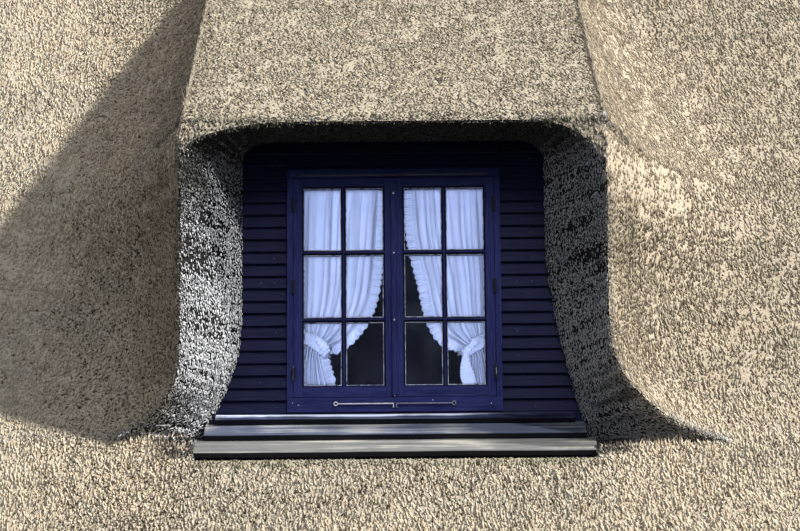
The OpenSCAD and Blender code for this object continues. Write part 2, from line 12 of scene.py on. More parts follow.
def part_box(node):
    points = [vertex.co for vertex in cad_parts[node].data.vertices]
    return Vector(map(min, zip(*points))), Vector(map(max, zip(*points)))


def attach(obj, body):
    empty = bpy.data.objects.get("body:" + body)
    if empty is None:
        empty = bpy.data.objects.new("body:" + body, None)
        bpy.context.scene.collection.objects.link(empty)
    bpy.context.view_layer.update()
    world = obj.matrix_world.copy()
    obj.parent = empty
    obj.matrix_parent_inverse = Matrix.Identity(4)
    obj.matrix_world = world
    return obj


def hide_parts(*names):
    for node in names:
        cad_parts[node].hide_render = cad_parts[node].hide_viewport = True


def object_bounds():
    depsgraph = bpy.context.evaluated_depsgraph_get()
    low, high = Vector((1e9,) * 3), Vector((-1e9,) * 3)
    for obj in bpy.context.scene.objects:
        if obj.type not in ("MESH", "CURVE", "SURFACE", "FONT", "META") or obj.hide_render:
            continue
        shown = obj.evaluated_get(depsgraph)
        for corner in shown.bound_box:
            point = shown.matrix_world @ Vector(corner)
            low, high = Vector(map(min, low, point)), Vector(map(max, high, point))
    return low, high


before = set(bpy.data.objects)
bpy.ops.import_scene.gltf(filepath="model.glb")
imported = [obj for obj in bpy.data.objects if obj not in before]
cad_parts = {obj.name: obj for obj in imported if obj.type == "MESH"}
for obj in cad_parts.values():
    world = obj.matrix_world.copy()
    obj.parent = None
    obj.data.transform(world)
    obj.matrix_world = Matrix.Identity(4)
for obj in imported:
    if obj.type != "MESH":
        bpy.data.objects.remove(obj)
cad_low, cad_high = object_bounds()

# Levels and planes of the roof, in metres, from the frame.
PITCH = math.radians(50)
SIN, COS = math.sin(PITCH), math.cos(PITCH)
DOWN_MAIN = np.array(Vector((0, -COS, -SIN)))
OUT_MAIN = np.array(Vector((0, -SIN, COS)))
HALF_BAY = cad_high.x
TOP = cad_high.z
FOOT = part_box("sill_board")[0].z
NOTCH = min(abs(v.co.x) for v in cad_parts["thatch_below"].data.vertices)
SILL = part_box("frame_sill")[0].z
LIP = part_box("thatch_hood")[0].z
FRONT_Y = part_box("thatch_hood")[0].y
WALL_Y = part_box("front_posts")[0].y
HOOD_PITCH = math.atan2(TOP - LIP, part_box("thatch_hood")[1].y - WALL_Y)
SIDES = {"left": -1, "right": 1}
THATCH = [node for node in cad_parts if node.startswith("thatch_")]


# Finishes

class Value:
    """A socket whose number or colour varies over a surface. Sums on it add Math nodes."""

    def __init__(self, tree, socket):
        self.tree, self.socket = tree, socket

    def math(self, operation, *others):
        return self.tree.add("ShaderNodeMath", {"operation": operation}, [self, *others])

    def __add__(self, other):
        return self.math("ADD", other)

    def __sub__(self, other):
        return self.math("SUBTRACT", other)

    def __rsub__(self, other):
        return self.tree.add("ShaderNodeMath", {"operation": "SUBTRACT"}, [other, self])

    def __mul__(self, other):
        return self.math("MULTIPLY", other)

    __radd__, __rmul__ = __add__, __mul__

    def between(self, low, high):
        """0 below low, 1 above high and smooth between them. With low over high it falls."""
        return self.tree.add("ShaderNodeMapRange", {"interpolation_type": "SMOOTHSTEP", "clamp": True},
                             {"Value": self, "From Min": low, "From Max": high})


class Tree:
    """The shader nodes of a material or the world, laid out by one output of Texture Coordinate."""

    def __init__(self, owner, place):
        owner.use_nodes = True
        self.nodes, self.links = owner.node_tree.nodes, owner.node_tree.links
        self.nodes.clear()
        self.place = self.add("ShaderNodeTexCoord", {}, {}, place)

    def add(self, kind, settings, sockets, output=0):
        """Adds a node of this kind with its settings, then its sockets' values or links."""
        node = self.nodes.new(kind)
        for name, setting in settings.items():
            if name == "stops":
                self.set_stops(node.color_ramp, setting)
            else:
                setattr(node, name, setting)
        for name, given in sockets.items() if isinstance(sockets, dict) else enumerate(sockets):
            if isinstance(given, Value):
                self.links.new(given.socket, node.inputs[name])
            else:
                node.inputs[name].default_value = given
        return Value(self, node.outputs[output]) if node.outputs else None

    def set_stops(self, ramp, stops):
        while len(ramp.elements) < len(stops):
            ramp.elements.new(1.0)
        for element, (position, colour) in zip(ramp.elements, stops):
            element.position = position
            element.color = (*colour, 1)

    def axis(self, letter, vector=None):
        return self.add("ShaderNodeSeparateXYZ", {}, [vector or self.place], letter)

    def patch(self, limits):
        """A share that is 1 within these limits: each is an axis, where it starts and where it is full."""
        share = 1.0
        for axis, start, full in limits:
            place = self.axis("X").math("ABSOLUTE") if axis == "across" else self.axis(axis)
            share = place.between(start, full) * share
        return share

    def ramp(self, value, *stops):
        return self.add("ShaderNodeValToRGB", {"stops": stops}, [value])

    def mix(self, share, first, second):
        """first where share is 0 and second where it is 1, as colours."""
        first, second = [c if isinstance(c, Value) else (*c, 1) for c in (first, second)]
        return self.add("ShaderNodeMix", {"data_type": "RGBA"}, {0: share, 6: first, 7: second}, 2)

    def over(self, colour, *coats):
        """Lays coats over a colour, each given as its share and its own colour."""
        for share, coat in coats:
            colour = self.mix(share, colour, coat)
        return colour


class Finish(Tree):
    """A material built from nodes."""

    def __init__(self, name, constants):
        self.material = bpy.data.materials.new(name)
        super().__init__(self.material, "Object")
        self.surface = self.add("ShaderNodeBsdfPrincipled", {}, constants)
        self.add("ShaderNodeOutputMaterial", {}, [self.surface])

    def mapped(self, scale, turn=0.0):
        """The place with each axis scaled, and turned about X."""
        sockets = {"Vector": self.place, "Rotation": (turn, 0, 0), "Scale": scale}
        return self.add("ShaderNodeMapping", {}, sockets)

    def noise(self, scale, detail, vector=None, roughness=0.55, distortion=0.0):
        sockets = {"Vector": vector or self.place, "Scale": scale, "Detail": detail, "Roughness": roughness}
        return self.add("ShaderNodeTexNoise", {}, {**sockets, "Distortion": distortion})

    def attribute(self, name, output="Color"):
        return self.add("ShaderNodeAttribute", {"attribute_name": name}, {}, output)

    def geometry(self, output):
        return self.add("ShaderNodeNewGeometry", {}, {}, output)

    def channel(self, colour, letter):
        return self.add("ShaderNodeSeparateColor", {}, [colour], letter)

    def bump(self, height, depth, strength=1.0):
        self.set("Normal", self.add(
            "ShaderNodeBump", {}, {"Height": height, "Distance": depth, "Strength": strength}))

    def set(self, socket, value):
        self.links.new(value.socket, self.surface.socket.node.inputs[socket])


def shaded(colour, by):
    return tuple(c * by for c in colour)


# Patches on the reed, some of weather and some of painted light and shade: along each axis, where the patch
# starts and where it is full.
# "across" is the distance from the window's middle.
# Painted shade: the valley left of the hood, darker and more mottled.
PAINTED_SHADE_VALLEY = (("X", -2.0, -1.6), ("X", -0.95, -1.1))
# Painted sunlight: the far left slope, lightened.
PAINTED_SUN_LEFT_SLOPE = (("X", -1.0, -1.9),)
RIGHT_SLOPE = (("X", 1.0, 1.3),)
UNDER_SILL = (("Z", FOOT - 0.55, FOOT - 0.10), ("X", -1.14, -1.0), ("X", 1.16, 1.02))
# Painted sunlight: the lower part of both reveals, and more of the left reveal, lightened.
PAINTED_SUN_LOW_REVEALS = (("Z", 2.3, 1.6), ("across", 0.6, 0.75))
PAINTED_SUN_LEFT_REVEAL = (("Z", 2.5, 1.9), ("X", -0.6, -0.75))
# Moss with painted shade: the left reveal's upper outer part under the brow's corner, darkened green-black.
MOSS_AND_SHADE_REVEAL = (("Z", LIP - 0.50, LIP - 0.30), ("X", -0.92, -0.98))
HOOD_EDGE = (("Z", LIP + 0.08, LIP + 0.02),)
# Painted shade: dark pockets along the brow's edge.
BROW = (("Z", LIP - 0.15, LIP - 0.05),)
# Painted shade: darker reed beside the foot of the hood's left flank.
FLANK_SHADE = (("X", -1.5, -1.1), ("Z", 1.3, 1.6))
# Painted shade: dark reed beside the ends of the sill, below the reveals.
SHADED_HEELS = (("across", NOTCH + 0.26, NOTCH + 0.10), ("across", NOTCH - 0.02, NOTCH),
         ("Z", 1.05, 1.10), ("Z", 1.2, 1.19))
DRIPPED_ON = (("Z", FOOT - 0.075, FOOT - 0.03), ("X", -1.10, -1.0), ("X", 1.10, 1.0))

# Reed from its dark gaps, a painted shade between the ends, to its bright ends, fresh, weathered and washed
# out. The washed-out reed's bluish darker tones are painted blue skylight in shade.
FRESH = ((0.25, (0.055, 0.038, 0.022)), (0.37, (0.53, 0.405, 0.25)), (0.48, (0.81, 0.665, 0.465)),
         (0.70, (0.84, 0.73, 0.54)))
GREYED = ((0.335, (0.040, 0.031, 0.021)), (0.43, (0.36, 0.29, 0.195)), (0.53, (0.69, 0.57, 0.41)),
          (0.72, (0.82, 0.735, 0.57)))
ASHEN = ((0.37, (0.018, 0.018, 0.020)), (0.46, (0.21, 0.21, 0.225)), (0.55, (0.50, 0.505, 0.525)),
         (0.76, (0.76, 0.76, 0.75)))
# Painted shade between reed ends: the dark brown towards each end's root and in the packed reed between them.
ROOT_SHADE_BROWN = (0.10, 0.075, 0.045)


def straw_colour(f, tone, colours, worn, weather, painted_sunlight=0):
    """Reed seen at its cut surface: fine ends and dark gaps between them, the gaps a painted shade, fresh or
    weathered in patches.
    """
    along = f.mapped((1, 0.55, 1), PITCH)
    fine = f.noise(85, 3, along, 0.6)
    # Painted shade in the valley left of the hood: darker reed with more contrast.
    valley_shade = f.patch(PAINTED_SHADE_VALLEY)
    level = fine + (fine - 0.5) * valley_shade * 1.3 + f.noise(30, 2, along) * 0.20 + tone * 0.40 - 0.235 + painted_sunlight
    # Painted sunlight lightens the far left slope, and painted shade darkens the valley.
    level = level + f.patch(PAINTED_SUN_LEFT_SLOPE) * 0.05 - valley_shade * 0.06
    cloud = f.noise(1.7, 4) * 0.65 + f.noise(9, 3) * 0.35
    aged = (cloud + f.patch(UNDER_SILL) * 0.18).between(0.44, 0.64) * (1 - f.patch(RIGHT_SLOPE) * 0.45)
    return f.mix(aged * (1 - weather) + weather, f.ramp(level, *colours), f.ramp(level, *worn))


def reed_end_finish(name, colours, worn, weather, moss, cut=0.0):
    """Cut reed: each end has its own tone and darkens towards its root, a painted shade between the ends."""
    f = Finish(name, {"Roughness": 0.8, "Specular IOR Level": 0.15})
    own = f.attribute("reed")
    tone, tip, underside_shade = [f.channel(own, letter) for letter in ("Red", "Green", "Blue")]
    rim = f.attribute("reed", "Alpha")
    # Painted sunlight: cut ends paler low on the reveals, most on the left reveal.
    painted_sunlight = (f.patch(PAINTED_SUN_LEFT_REVEAL) * 0.07 + f.patch(PAINTED_SUN_LOW_REVEALS) * 0.11) * cut
    colour = straw_colour(f, tone, colours, worn, weather, painted_sunlight)
    ashes = f.ramp(f.channel(colour, "Green"), (0.0, (0, 0, 0)), (0.8, (0.66, 0.67, 0.67)))
    frayed = rim * f.noise(6, 3).between(0.25, 0.5) * f.patch(HOOD_EDGE)
    brow_shade = rim.between(0.05, 0.6) * f.patch(BROW) * f.noise(48, 2).between(0.43, 0.53)
    flank_shade = f.patch(FLANK_SHADE) * f.noise(5, 3).between(0.2, 0.5)
    moss_and_shade = f.patch(MOSS_AND_SHADE_REVEAL) * (f.noise(11, 3) * 1.2).between(0.35, 0.6)
    mossy = (f.patch(DRIPPED_ON) * 0.6 + f.noise(7, 3) * 0.5).between(0.66, 0.95)
    f.set("Base Color", f.over(
        colour,
        (frayed * 0.6, ashes),
        # painted shade in pockets along the brow's edge
        (brow_shade * (1 - cut) * 0.9, (0.030, 0.027, 0.020)),
        # painted shade beside the foot of the hood's left flank
        (flank_shade * (1 - cut) * 0.35, (0.10, 0.085, 0.065)),
        # painted shade beside the ends of the sill
        (f.patch(SHADED_HEELS) * 0.9, (0.030, 0.030, 0.032)),
        # moss with painted shade under the brow's left corner
        (moss_and_shade * 0.85 * cut, (0.022, 0.026, 0.014)),
        (mossy * moss * 0.7, (0.13, 0.15, 0.075)),
        # painted shade towards each end's root, between the ends
        (tip.between(1.0, 0.2) * 0.4, ROOT_SHADE_BROWN),
        # painted shade: ends that face down, darkened towards black
        (underside_shade * 0.82, (0.010, 0.009, 0.008)),
    ))
    f.bump(f.noise(330, 2, f.mapped((1, 0.3, 1), PITCH)), 0.002, 0.35)
    return f.material


def thatch_body_finish(colours, worn):
    """Packed reed behind the ends, darkened as painted shade between them, near black as painted shade in the
    recess at the sill's foot, and its stalks lengthwise where the roof is cut and underneath.
    """
    f = Finish("thatch_body", {"Roughness": 0.9, "Specular IOR Level": 0.1})
    along = f.mapped((1, 0.05, 1), PITCH)
    fine = f.noise(260, 2, along)
    shade = f.noise(95, 3, along) * 0.6 + fine * 0.35 + f.noise(9, 3, along) * 0.3 - 0.12
    x, y, z = [f.axis(letter) for letter in "XYZ"]
    outer = COS * FOOT - SIN * FRONT_Y
    bay_end = x.math("ABSOLUTE").between(HALF_BAY - 0.004, HALF_BAY - 0.001)
    underside = (z * COS - y * SIN).between(outer - 0.28, outer - 0.3)
    faces = f.geometry("True Normal")
    ahead = f.add("ShaderNodeVectorMath", {"operation": "DOT_PRODUCT"}, [faces, tuple(DOWN_MAIN)], "Value")
    inward = (f.axis("X", faces) * x.math("SIGN")).between(-0.3, -0.5)
    downward = f.axis("Z", faces).between(-0.2, -0.4)
    cut = ahead.between(0.15, 0.5).math("MAXIMUM", inward).math("MAXIMUM", downward)
    # Painted shade: near black on cut faces in the recess behind the wall at the sill's foot.
    recess_shade = cut * z.between(FOOT - 0.15, FOOT - 0.05) * y.between(WALL_Y + 0.002, WALL_Y)
    deep = f.ramp(shade, (0.2, (0.004, 0.004, 0.004)), (0.7, (0.03, 0.028, 0.026)))
    straw = f.ramp(shade, (0.22, (0.08, 0.055, 0.028)), (0.5, (0.40, 0.30, 0.17)), (0.8, (0.64, 0.53, 0.34)))
    packed = straw_colour(f, fine, colours, worn, 0.15)
    f.set("Base Color", f.over(
        packed, (0.30, ROOT_SHADE_BROWN), (recess_shade, deep), (bay_end.math("MAXIMUM", underside), straw)))
    f.bump(shade, 0.01)
    return f.material


def board_finish(name, tone, along, wear):
    """Dark stain on sawn wood: grain along it, and thin stain on raised grain and edges."""
    f = Finish(name, {"Specular IOR Level": 0.05})
    stretched = f.mapped({"x": (0.05, 1, 1), "z": (1, 1, 0.05)}[along])
    grain = f.noise(150, 4, stretched, 0.6)
    figure = f.noise(26, 3, stretched, 0.5, 0.6)
    cloud = f.noise(3.2, 3)
    level = grain * 0.55 + figure * 0.35 + cloud * 0.35 - 0.12
    colour = f.ramp(level, (0.25, shaded(tone, 0.45)), (0.5, tone), (0.85, shaded(tone, 1.8)))
    edge = f.geometry("Pointiness").between(0.52, 0.60) * grain.between(0.4, 0.6)
    bare = ((grain * 0.6 + cloud * 0.5).between(0.68, 0.82) + edge) * wear
    f.set("Base Color", f.mix(bare.math("MINIMUM", 1.0), colour, (0.12, 0.13, 0.20)))
    f.set("Roughness", grain * 0.3 + 0.36)
    f.bump(grain * 0.6 + figure * 0.4, 0.0016)
    return f.material


def plank_finish(plank, face, pale, gloss, sky_glint_share):
    """A weathered sill plank: silvered grain, pale strips, knots and rain gloss, with a painted sky glint
    along its top, painted sunlight on its left end and painted shade on faces that look down.
    """
    f = Finish("plank_" + plank + "_wood", {"Specular IOR Level": 0.08, "Coat Roughness": 0.12})
    stretched = f.mapped((0.035, 1, 1))
    grain = f.noise(170, 4, stretched, 0.6)
    figure = f.noise(30, 3, stretched, 0.5, 0.8)
    cloud = f.noise(2.6, 4)
    knots = f.add("ShaderNodeTexVoronoi", {}, {"Vector": f.mapped((1, 0.6, 0.6)), "Scale": 2.1})
    level = grain * 0.5 + figure * 0.4 + cloud * 0.4 - 0.18
    x = f.axis("X")
    # Painted reflection: a bright bluish glint of the sky along the top face.
    from_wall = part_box("apron_plank_" + plank)[1].y - (f.axis("Y") + cloud * 0.02 - 0.01)
    sky_glint = from_wall.between(0.012, 0.020) * from_wall.between(0.052, 0.040) * x.between(0.85, 0.05)
    down = f.axis("Z", f.geometry("True Normal")).between(0.35, 0.1)
    f.set("Base Color", f.over(
        f.ramp(level, (0.2, shaded(face, 0.35)), (0.5, face), (0.85, pale)),
        ((figure * 0.6 + cloud * 0.6).between(0.60, 0.74) * 0.6, pale),
        (knots.between(0.07, 0.02) * 0.85, (0.03, 0.022, 0.018)),
        # painted sunlight: beige on the plank's left end
        (x.between(-0.86, -0.98) * cloud.between(0.4, 0.6) * 0.6, (0.42, 0.36, 0.25)),
        (sky_glint * (figure * 0.45 + cloud * 0.55).between(0.44, 0.56) * sky_glint_share, (0.80, 0.86, 1.0)),
        # painted shade: faces that look down, near black
        (down * 0.97, (0.006, 0.006, 0.010)),
    ))
    wet = (cloud * 0.7 + figure * 0.5).between(0.50, 0.70) * (1 - down)
    f.set("Coat Weight", wet * (0.9 - gloss * 1.6))
    f.set("Roughness", grain * 0.4 + gloss)
    f.bump(grain * 0.5 + figure * 0.5, 0.0022)
    return f.material


def timber_finish(name, stretch, turn=0.0):
    """Rough-sawn roof timber, its grain along the member."""
    f = Finish(name, {"Roughness": 0.8, "Specular IOR Level": 0.25})
    along = f.mapped(stretch, turn)
    grain = f.noise(70, 4, along, 0.6)
    saw = f.noise(300, 2, f.mapped(tuple(1.06 - c for c in stretch), turn))
    level = grain * 0.45 + f.noise(14, 3, along, 0.5, 1.2) * 0.45 + f.noise(1.4, 3) * 0.35 - 0.12
    f.set("Base Color", f.ramp(
        level, (0.2, (0.13, 0.07, 0.035)), (0.5, (0.36, 0.235, 0.13)), (0.85, (0.56, 0.40, 0.24))))
    f.bump(grain * 0.6 + saw * 0.4, 0.0025)
    return f.material


def lining_finish(board=0.12):
    """Planed wood inside, with a dark groove between boards of this width."""
    f = Finish("lining_wood", {"Roughness": 0.6, "Specular IOR Level": 0.3})
    grain = f.noise(60, 4, f.mapped((1, 0.06, 0.3)), 0.6)
    across = (f.axis("X") * (1 / board)).math("FRACT")
    groove = across.between(0.05, 0.0) + across.between(0.95, 1.0)
    wood = f.ramp(grain, (0.3, (0.24, 0.155, 0.085)), (0.75, (0.42, 0.30, 0.18)))
    f.set("Base Color", f.mix(groove, wood, (0.05, 0.03, 0.018)))
    f.bump(grain * 0.3 - groove, 0.002)
    return f.material


def metal_finish(name, bright, rust):
    """Worn plated steel: dull zinc, darker pits and rust in the corners."""
    f = Finish(name, {"Metallic": 0.85, "Specular IOR Level": 0.5})
    pits = f.noise(240, 4)
    rusty = (f.noise(38, 3) + pits * 0.3).between(0.62, 0.78) * rust
    zinc = f.ramp(pits, (0.3, shaded(bright, 0.35)), (0.65, bright))
    f.set("Base Color", f.mix(rusty, zinc, (0.16, 0.065, 0.028)))
    f.set("Roughness", pits * 0.4 + 0.25 + rusty * 0.3)
    f.bump(pits, 0.0006)
    return f.material


def hinge_finish(pin_x):
    """Hinges painted over with the frame, their knuckles rubbed back to pale metal."""
    f = Finish("hinge_paint", {"Specular IOR Level": 0.08})
    pits = f.noise(240, 4)
    frame_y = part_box("frame_head")[0].y
    off_pin = (f.axis("X").math("ABSOLUTE") - pin_x).math("ABSOLUTE")
    knuckle = off_pin.between(0.0028, 0.0018) * f.axis("Y").between(frame_y - 0.002, frame_y - 0.005)
    patchy = (pits * 0.4 + f.noise(14, 3) * 0.6).between(0.48, 0.56)
    rubbed = knuckle * patchy * f.axis("Z").between(SILL + 0.5, SILL + 0.3)
    paint = f.ramp(pits, (0.3, (0.006, 0.007, 0.02)), (0.7, (0.02, 0.022, 0.05)))
    f.set("Base Color", f.mix(rubbed, paint, (0.42, 0.43, 0.47)))
    f.set("Metallic", rubbed * 0.6)
    f.set("Roughness", pits * 0.3 + 0.35)
    f.bump(pits, 0.0008)
    return f.material


def pane_finish():
    """Clear glass whose faint blue is a painted sky reflection, with a trace of dust."""
    f = Finish("pane", {"Roughness": 0.03, "IOR": 1.45, "Specular IOR Level": 0.2})
    dust = f.noise(7, 4)
    f.set("Base Color", f.ramp(dust, (0.35, (0.05, 0.08, 0.18)), (0.7, (0.16, 0.20, 0.34))))
    f.set("Alpha", dust.between(0.3, 0.9) * 0.05 + 0.035)
    return f.material


def muslin_finish():
    """Thin white cotton, tinted a little blue as painted skylight, its fine weave laid out by the cloth's own
    map.
    """
    f = Finish("muslin", {"Roughness": 0.9, "Specular IOR Level": 0.1, "Sheen Weight": 0.25})
    threads = {"Vector": f.attribute("UVMap", "Vector"), "Scale": 500.0, "Distortion": 0.3}
    warp, weft = [f.add("ShaderNodeTexWave", {"wave_type": "BANDS", "bands_direction": way}, threads)
                  for way in ("X", "Y")]
    f.set("Base Color", f.ramp(f.noise(11, 3), (0.3, (0.83, 0.86, 0.93)), (0.7, (0.89, 0.91, 0.96))))
    f.bump(warp + weft, 0.0004)
    return f.material


def rod_finish():
    """Turned wood, its grain along the rod."""
    f = Finish("rod_wood", {"Roughness": 0.45, "Specular IOR Level": 0.4})
    grain = f.noise(120, 4, f.mapped((0.05, 1, 1)), 0.6)
    f.set("Base Color", f.ramp(grain, (0.3, (0.30, 0.20, 0.11)), (0.75, (0.50, 0.37, 0.22))))
    f.bump(grain, 0.0005)
    return f.material


def putty_finish():
    """Putty's pale edge, partly bare putty and partly a painted highlight, stained blue in places."""
    f = Finish("putty", {"Roughness": 0.7, "Specular IOR Level": 0.3})
    f.set("Base Color", f.ramp(f.noise(45, 4), (0.36, (0.05, 0.06, 0.13)), (0.62, (0.62, 0.66, 0.82))))
    f.bump(f.noise(300, 2), 0.0006)
    return f.material


reed_main = reed_end_finish("reed_ends", FRESH, GREYED, 0.10, 1.0)
reed_hood = reed_end_finish("reed_hood_ends", GREYED, [(at + 0.02, c) for at, c in GREYED], 0.45, 0.0)
reed_cut = reed_end_finish("reed_cut_ends", GREYED, ASHEN, 1.0, 0.0, 1.0)
thatch_body = thatch_body_finish(FRESH, GREYED)
stained = {name: board_finish(name, *rest) for name, *rest in (
    ("navy_boards", (0.0075, 0.009, 0.036), "x", 0.05),
    # The putty is painted darker than the sash: painted shade in the rebates round the panes.
    ("navy_putty", (0.004, 0.005, 0.022), "x", 0.05),
    # Paler paint on the head drip: a painted highlight along it, with more worn stain.
    ("navy_drip", (0.06, 0.06, 0.10), "x", 0.4),
    ("navy_upright", (0.017, 0.022, 0.105), "z", 0.15),
    ("navy_level", (0.017, 0.022, 0.105), "x", 0.15),
    # The apron's bearers are near black: painted shade under the planks.
    ("bearer_wood", (0.014, 0.014, 0.020), "x", 0.1),
)}
sawn = {name: timber_finish(name, *rest) for name, *rest in (
    ("timber_level", (0.06, 1, 1)), ("timber_upright", (1, 1, 0.06)),
    ("timber_main", (1, 0.06, 1), PITCH), ("timber_hood", (1, 0.06, 1), HOOD_PITCH),
)}
metal = {name: metal_finish(name, *rest) for name, *rest in (
    # The right stay's metal is darker and bluer than the left's: painted shade.
    ("stay_metal_left", (0.70, 0.72, 0.80), 0.25), ("stay_metal_right", (0.22, 0.24, 0.34), 0.2),
    ("screw_metal", (0.50, 0.50, 0.55), 0.2), ("nail_metal", (0.16, 0.16, 0.20), 0.4),
)}
pane, muslin, putty = pane_finish(), muslin_finish(), putty_finish()


# Making pieces

def stood(name, data):
    """An object at the world's origin with this mesh, lamp or camera."""
    made = bpy.data.objects.new(name, data)
    bpy.context.collection.objects.link(made)
    return made


def finished(name, mesh, material):
    """A piece of the dormer with its finish."""
    piece = stood(name, mesh)
    mesh.materials.append(material)
    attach(piece, "root")
    return piece


def mesh_from(name, bm):
    mesh = bpy.data.meshes.new(name)
    bm.to_mesh(mesh)
    bm.free()
    return mesh


def made_of(bm, name, material, node=None):
    """A piece with the shape of a bmesh, which stands for a CAD node where one is given."""
    piece = finished(name, mesh_from(name, bm), material)
    if node:
        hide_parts(node)
    return piece


def ease(bm, width, edges=None, segments=2, sharp=25):
    """Rounds the edges where faces meet at over sharp degrees."""
    limit = math.radians(sharp)
    edges = [e for e in (edges or bm.edges) if e.is_manifold and e.calc_face_angle(0) > limit]
    bmesh.ops.bevel(bm, geom=edges, offset=width, offset_type="OFFSET", affect="EDGES", segments=segments,
                    profile=0.5, clamp_overlap=True, material=-1)


def merged(node):
    """A CAD node's own shape, its loose triangles joined into whole faces."""
    bm = bmesh.new()
    bm.from_mesh(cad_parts[node].data)
    bmesh.ops.remove_doubles(bm, verts=bm.verts, dist=1e-5)
    bmesh.ops.dissolve_limit(bm, angle_limit=math.radians(1), verts=bm.verts, edges=bm.edges)
    return bm


def eased_copy(node, width, material):
    """A CAD node's own shape with its edges eased, which stands for that node."""
    bm = merged(node)
    ease(bm, width)
    made_of(bm, node + "_eased", material, node)


def block(bm, x, y, z, width=0.0012):
    """Adds a length of planed wood between these ranges, its edges eased."""
    low, high = Vector((x[0], y[0], z[0])), Vector((x[1], y[1], z[1]))
    place = Matrix.Translation((low + high) / 2) @ Matrix.Diagonal((*(high - low), 1))
    made = bmesh.ops.create_cube(bm, size=1, matrix=place)
    ease(bm, width, list({e for v in made["verts"] for e in v.link_edges}))


def dress(node, material):
    """Gives a CAD node that keeps its shape its finish."""
    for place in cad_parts[node].material_slots:
        place.material = material


# Reed ends

rng = np.random.default_rng(11)
SPACING, CUT_SPACING = 0.0134, 0.0090
TRIALS = 3.2  # points tried for each cell of the grid that thins them
INWARD, DOWNWARD = 0.45, -0.35  # how far a cut face's normal points at the window, and down


def solid_tree():
    """Everything solid in the frame, to tell which faces are open to the air."""
    points, faces, start = [], [], 0
    for name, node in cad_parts.items():
        if name.startswith(("glass", "curtain", "stay", "hinges")):
            continue
        points += [v.co for v in node.data.vertices]
        faces += [[start + i for i in p.vertices] for p in node.data.polygons]
        start = len(points)
    return BVHTree.FromPolygons(points, faces)


SOLIDS = solid_tree()


def in_open_air(point, normal):
    """Whether a point of a face is outside every other solid, with room in front of it."""
    off, sight, room = 0.003, 2.5, 0.03
    place, face, _, distance = SOLIDS.ray_cast(point + off * normal, normal, sight)
    return place is None or (distance > room and face.dot(normal) < 0.3)


def faces_opening(points, normals):
    """Whether each point lies on the cut reveals and soffit round the window."""
    inward = -np.sign(points[:, 0]) * normals[:, 0]
    near = (points[:, 2] > FOOT - 0.05) & (points[:, 1] < WALL_Y)
    return near & (((inward > INWARD) & (points[:, 2] < LIP + 0.05)) | (normals[:, 2] < DOWNWARD))


def unit(vectors):
    return vectors / np.maximum(np.linalg.norm(vectors, axis=1), 1e-9)[:, None]


def lengthwise(normals):
    """The direction down the roof within each face."""
    return unit(DOWN_MAIN[None, :] - (normals @ DOWN_MAIN)[:, None] * normals + 1e-4)


def outer_faces(node, cut):
    """A node's triangles: corners, normals, and the area of those that show, cut ones or the rest."""
    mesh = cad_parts[node].data
    mesh.calc_loop_triangles()
    places = np.array([v.co for v in mesh.vertices])
    corners = places[np.array([t.vertices for t in mesh.loop_triangles])]
    cross = np.cross(corners[:, 1] - corners[:, 0], corners[:, 2] - corners[:, 0])
    size = np.linalg.norm(cross, axis=1)
    normals = cross / np.maximum(size, 1e-12)[:, None]
    middle = corners.mean(1)
    ahead = corners[:, :, 1].min(1) < WALL_Y
    if cut:
        inward = -np.sign(middle[:, 0]) * normals[:, 0]
        shown = ahead & (corners[:, :, 2].max(1) > FOOT - 0.05)
        shown &= (inward > INWARD) | (normals[:, 2] < DOWNWARD)
    else:
        shown = (normals @ OUT_MAIN > -0.3) | (ahead & (normals[:, 2] < -0.2))
    bay_end = (np.abs(normals[:, 0]) > 0.99) & (np.abs(middle[:, 0]) > HALF_BAY - 0.01)
    top = (normals[:, 2] > 0.99) & (middle[:, 2] > TOP - 0.01)
    return corners, normals, size / 2 * (shown & ~bay_end & ~top)


def thinned(points, normals, spacing):
    """Keeps one point in each cell of a grid in the plane of its face, and again with the grid shifted."""
    block_size, cells = 0.4, 4096
    for shift in (0.0, 0.5):
        flat = lengthwise(normals)
        lines = [(points * way).sum(1) / spacing + shift for way in (flat, np.cross(normals, flat))]
        key = np.zeros(len(points), np.int64)
        for line in lines + [points[:, i] / block_size for i in (2, 1, 0)]:
            key = key * cells + np.floor(line).astype(np.int64) + cells // 2
        _, first = np.unique(key, return_index=True)
        points, normals = points[first], normals[first]
    return points, normals


def scattered(node, spacing, cut):
    """Points and normals spread evenly over a node's faces that show outside: the cut ones or the rest."""
    corners, normals, area = outer_faces(node, cut)
    if not area.any():
        return np.zeros((0, 3)), np.zeros((0, 3))
    count = int(area.sum() / spacing ** 2 * TRIALS)
    chosen = rng.choice(len(area), count, p=area / area.sum())
    u, v = rng.random(count), rng.random(count)
    over = u + v > 1
    u[over], v[over] = 1 - u[over], 1 - v[over]
    a, b, c = [corners[chosen, i] for i in range(3)]
    points, normals = thinned(a + u[:, None] * (b - a) + v[:, None] * (c - a), normals[chosen], spacing)
    underneath = (points[:, 1] > WALL_Y) & (normals[:, 2] < -0.2)
    kept = (faces_opening(points, normals) == cut) & (cut | ~underneath)
    points, normals = points[kept], normals[kept]
    free = np.array([in_open_air(Vector(p), Vector(n)) for p, n in zip(points, normals)], bool)
    return points[free], normals[free]


def slow_noise(points, size, seed):
    """A smooth number from -1 to 1 for each point, that changes over about size metres."""
    return np.array([noise.noise(Vector(p / size) + Vector((seed, 0, 0))) for p in points])


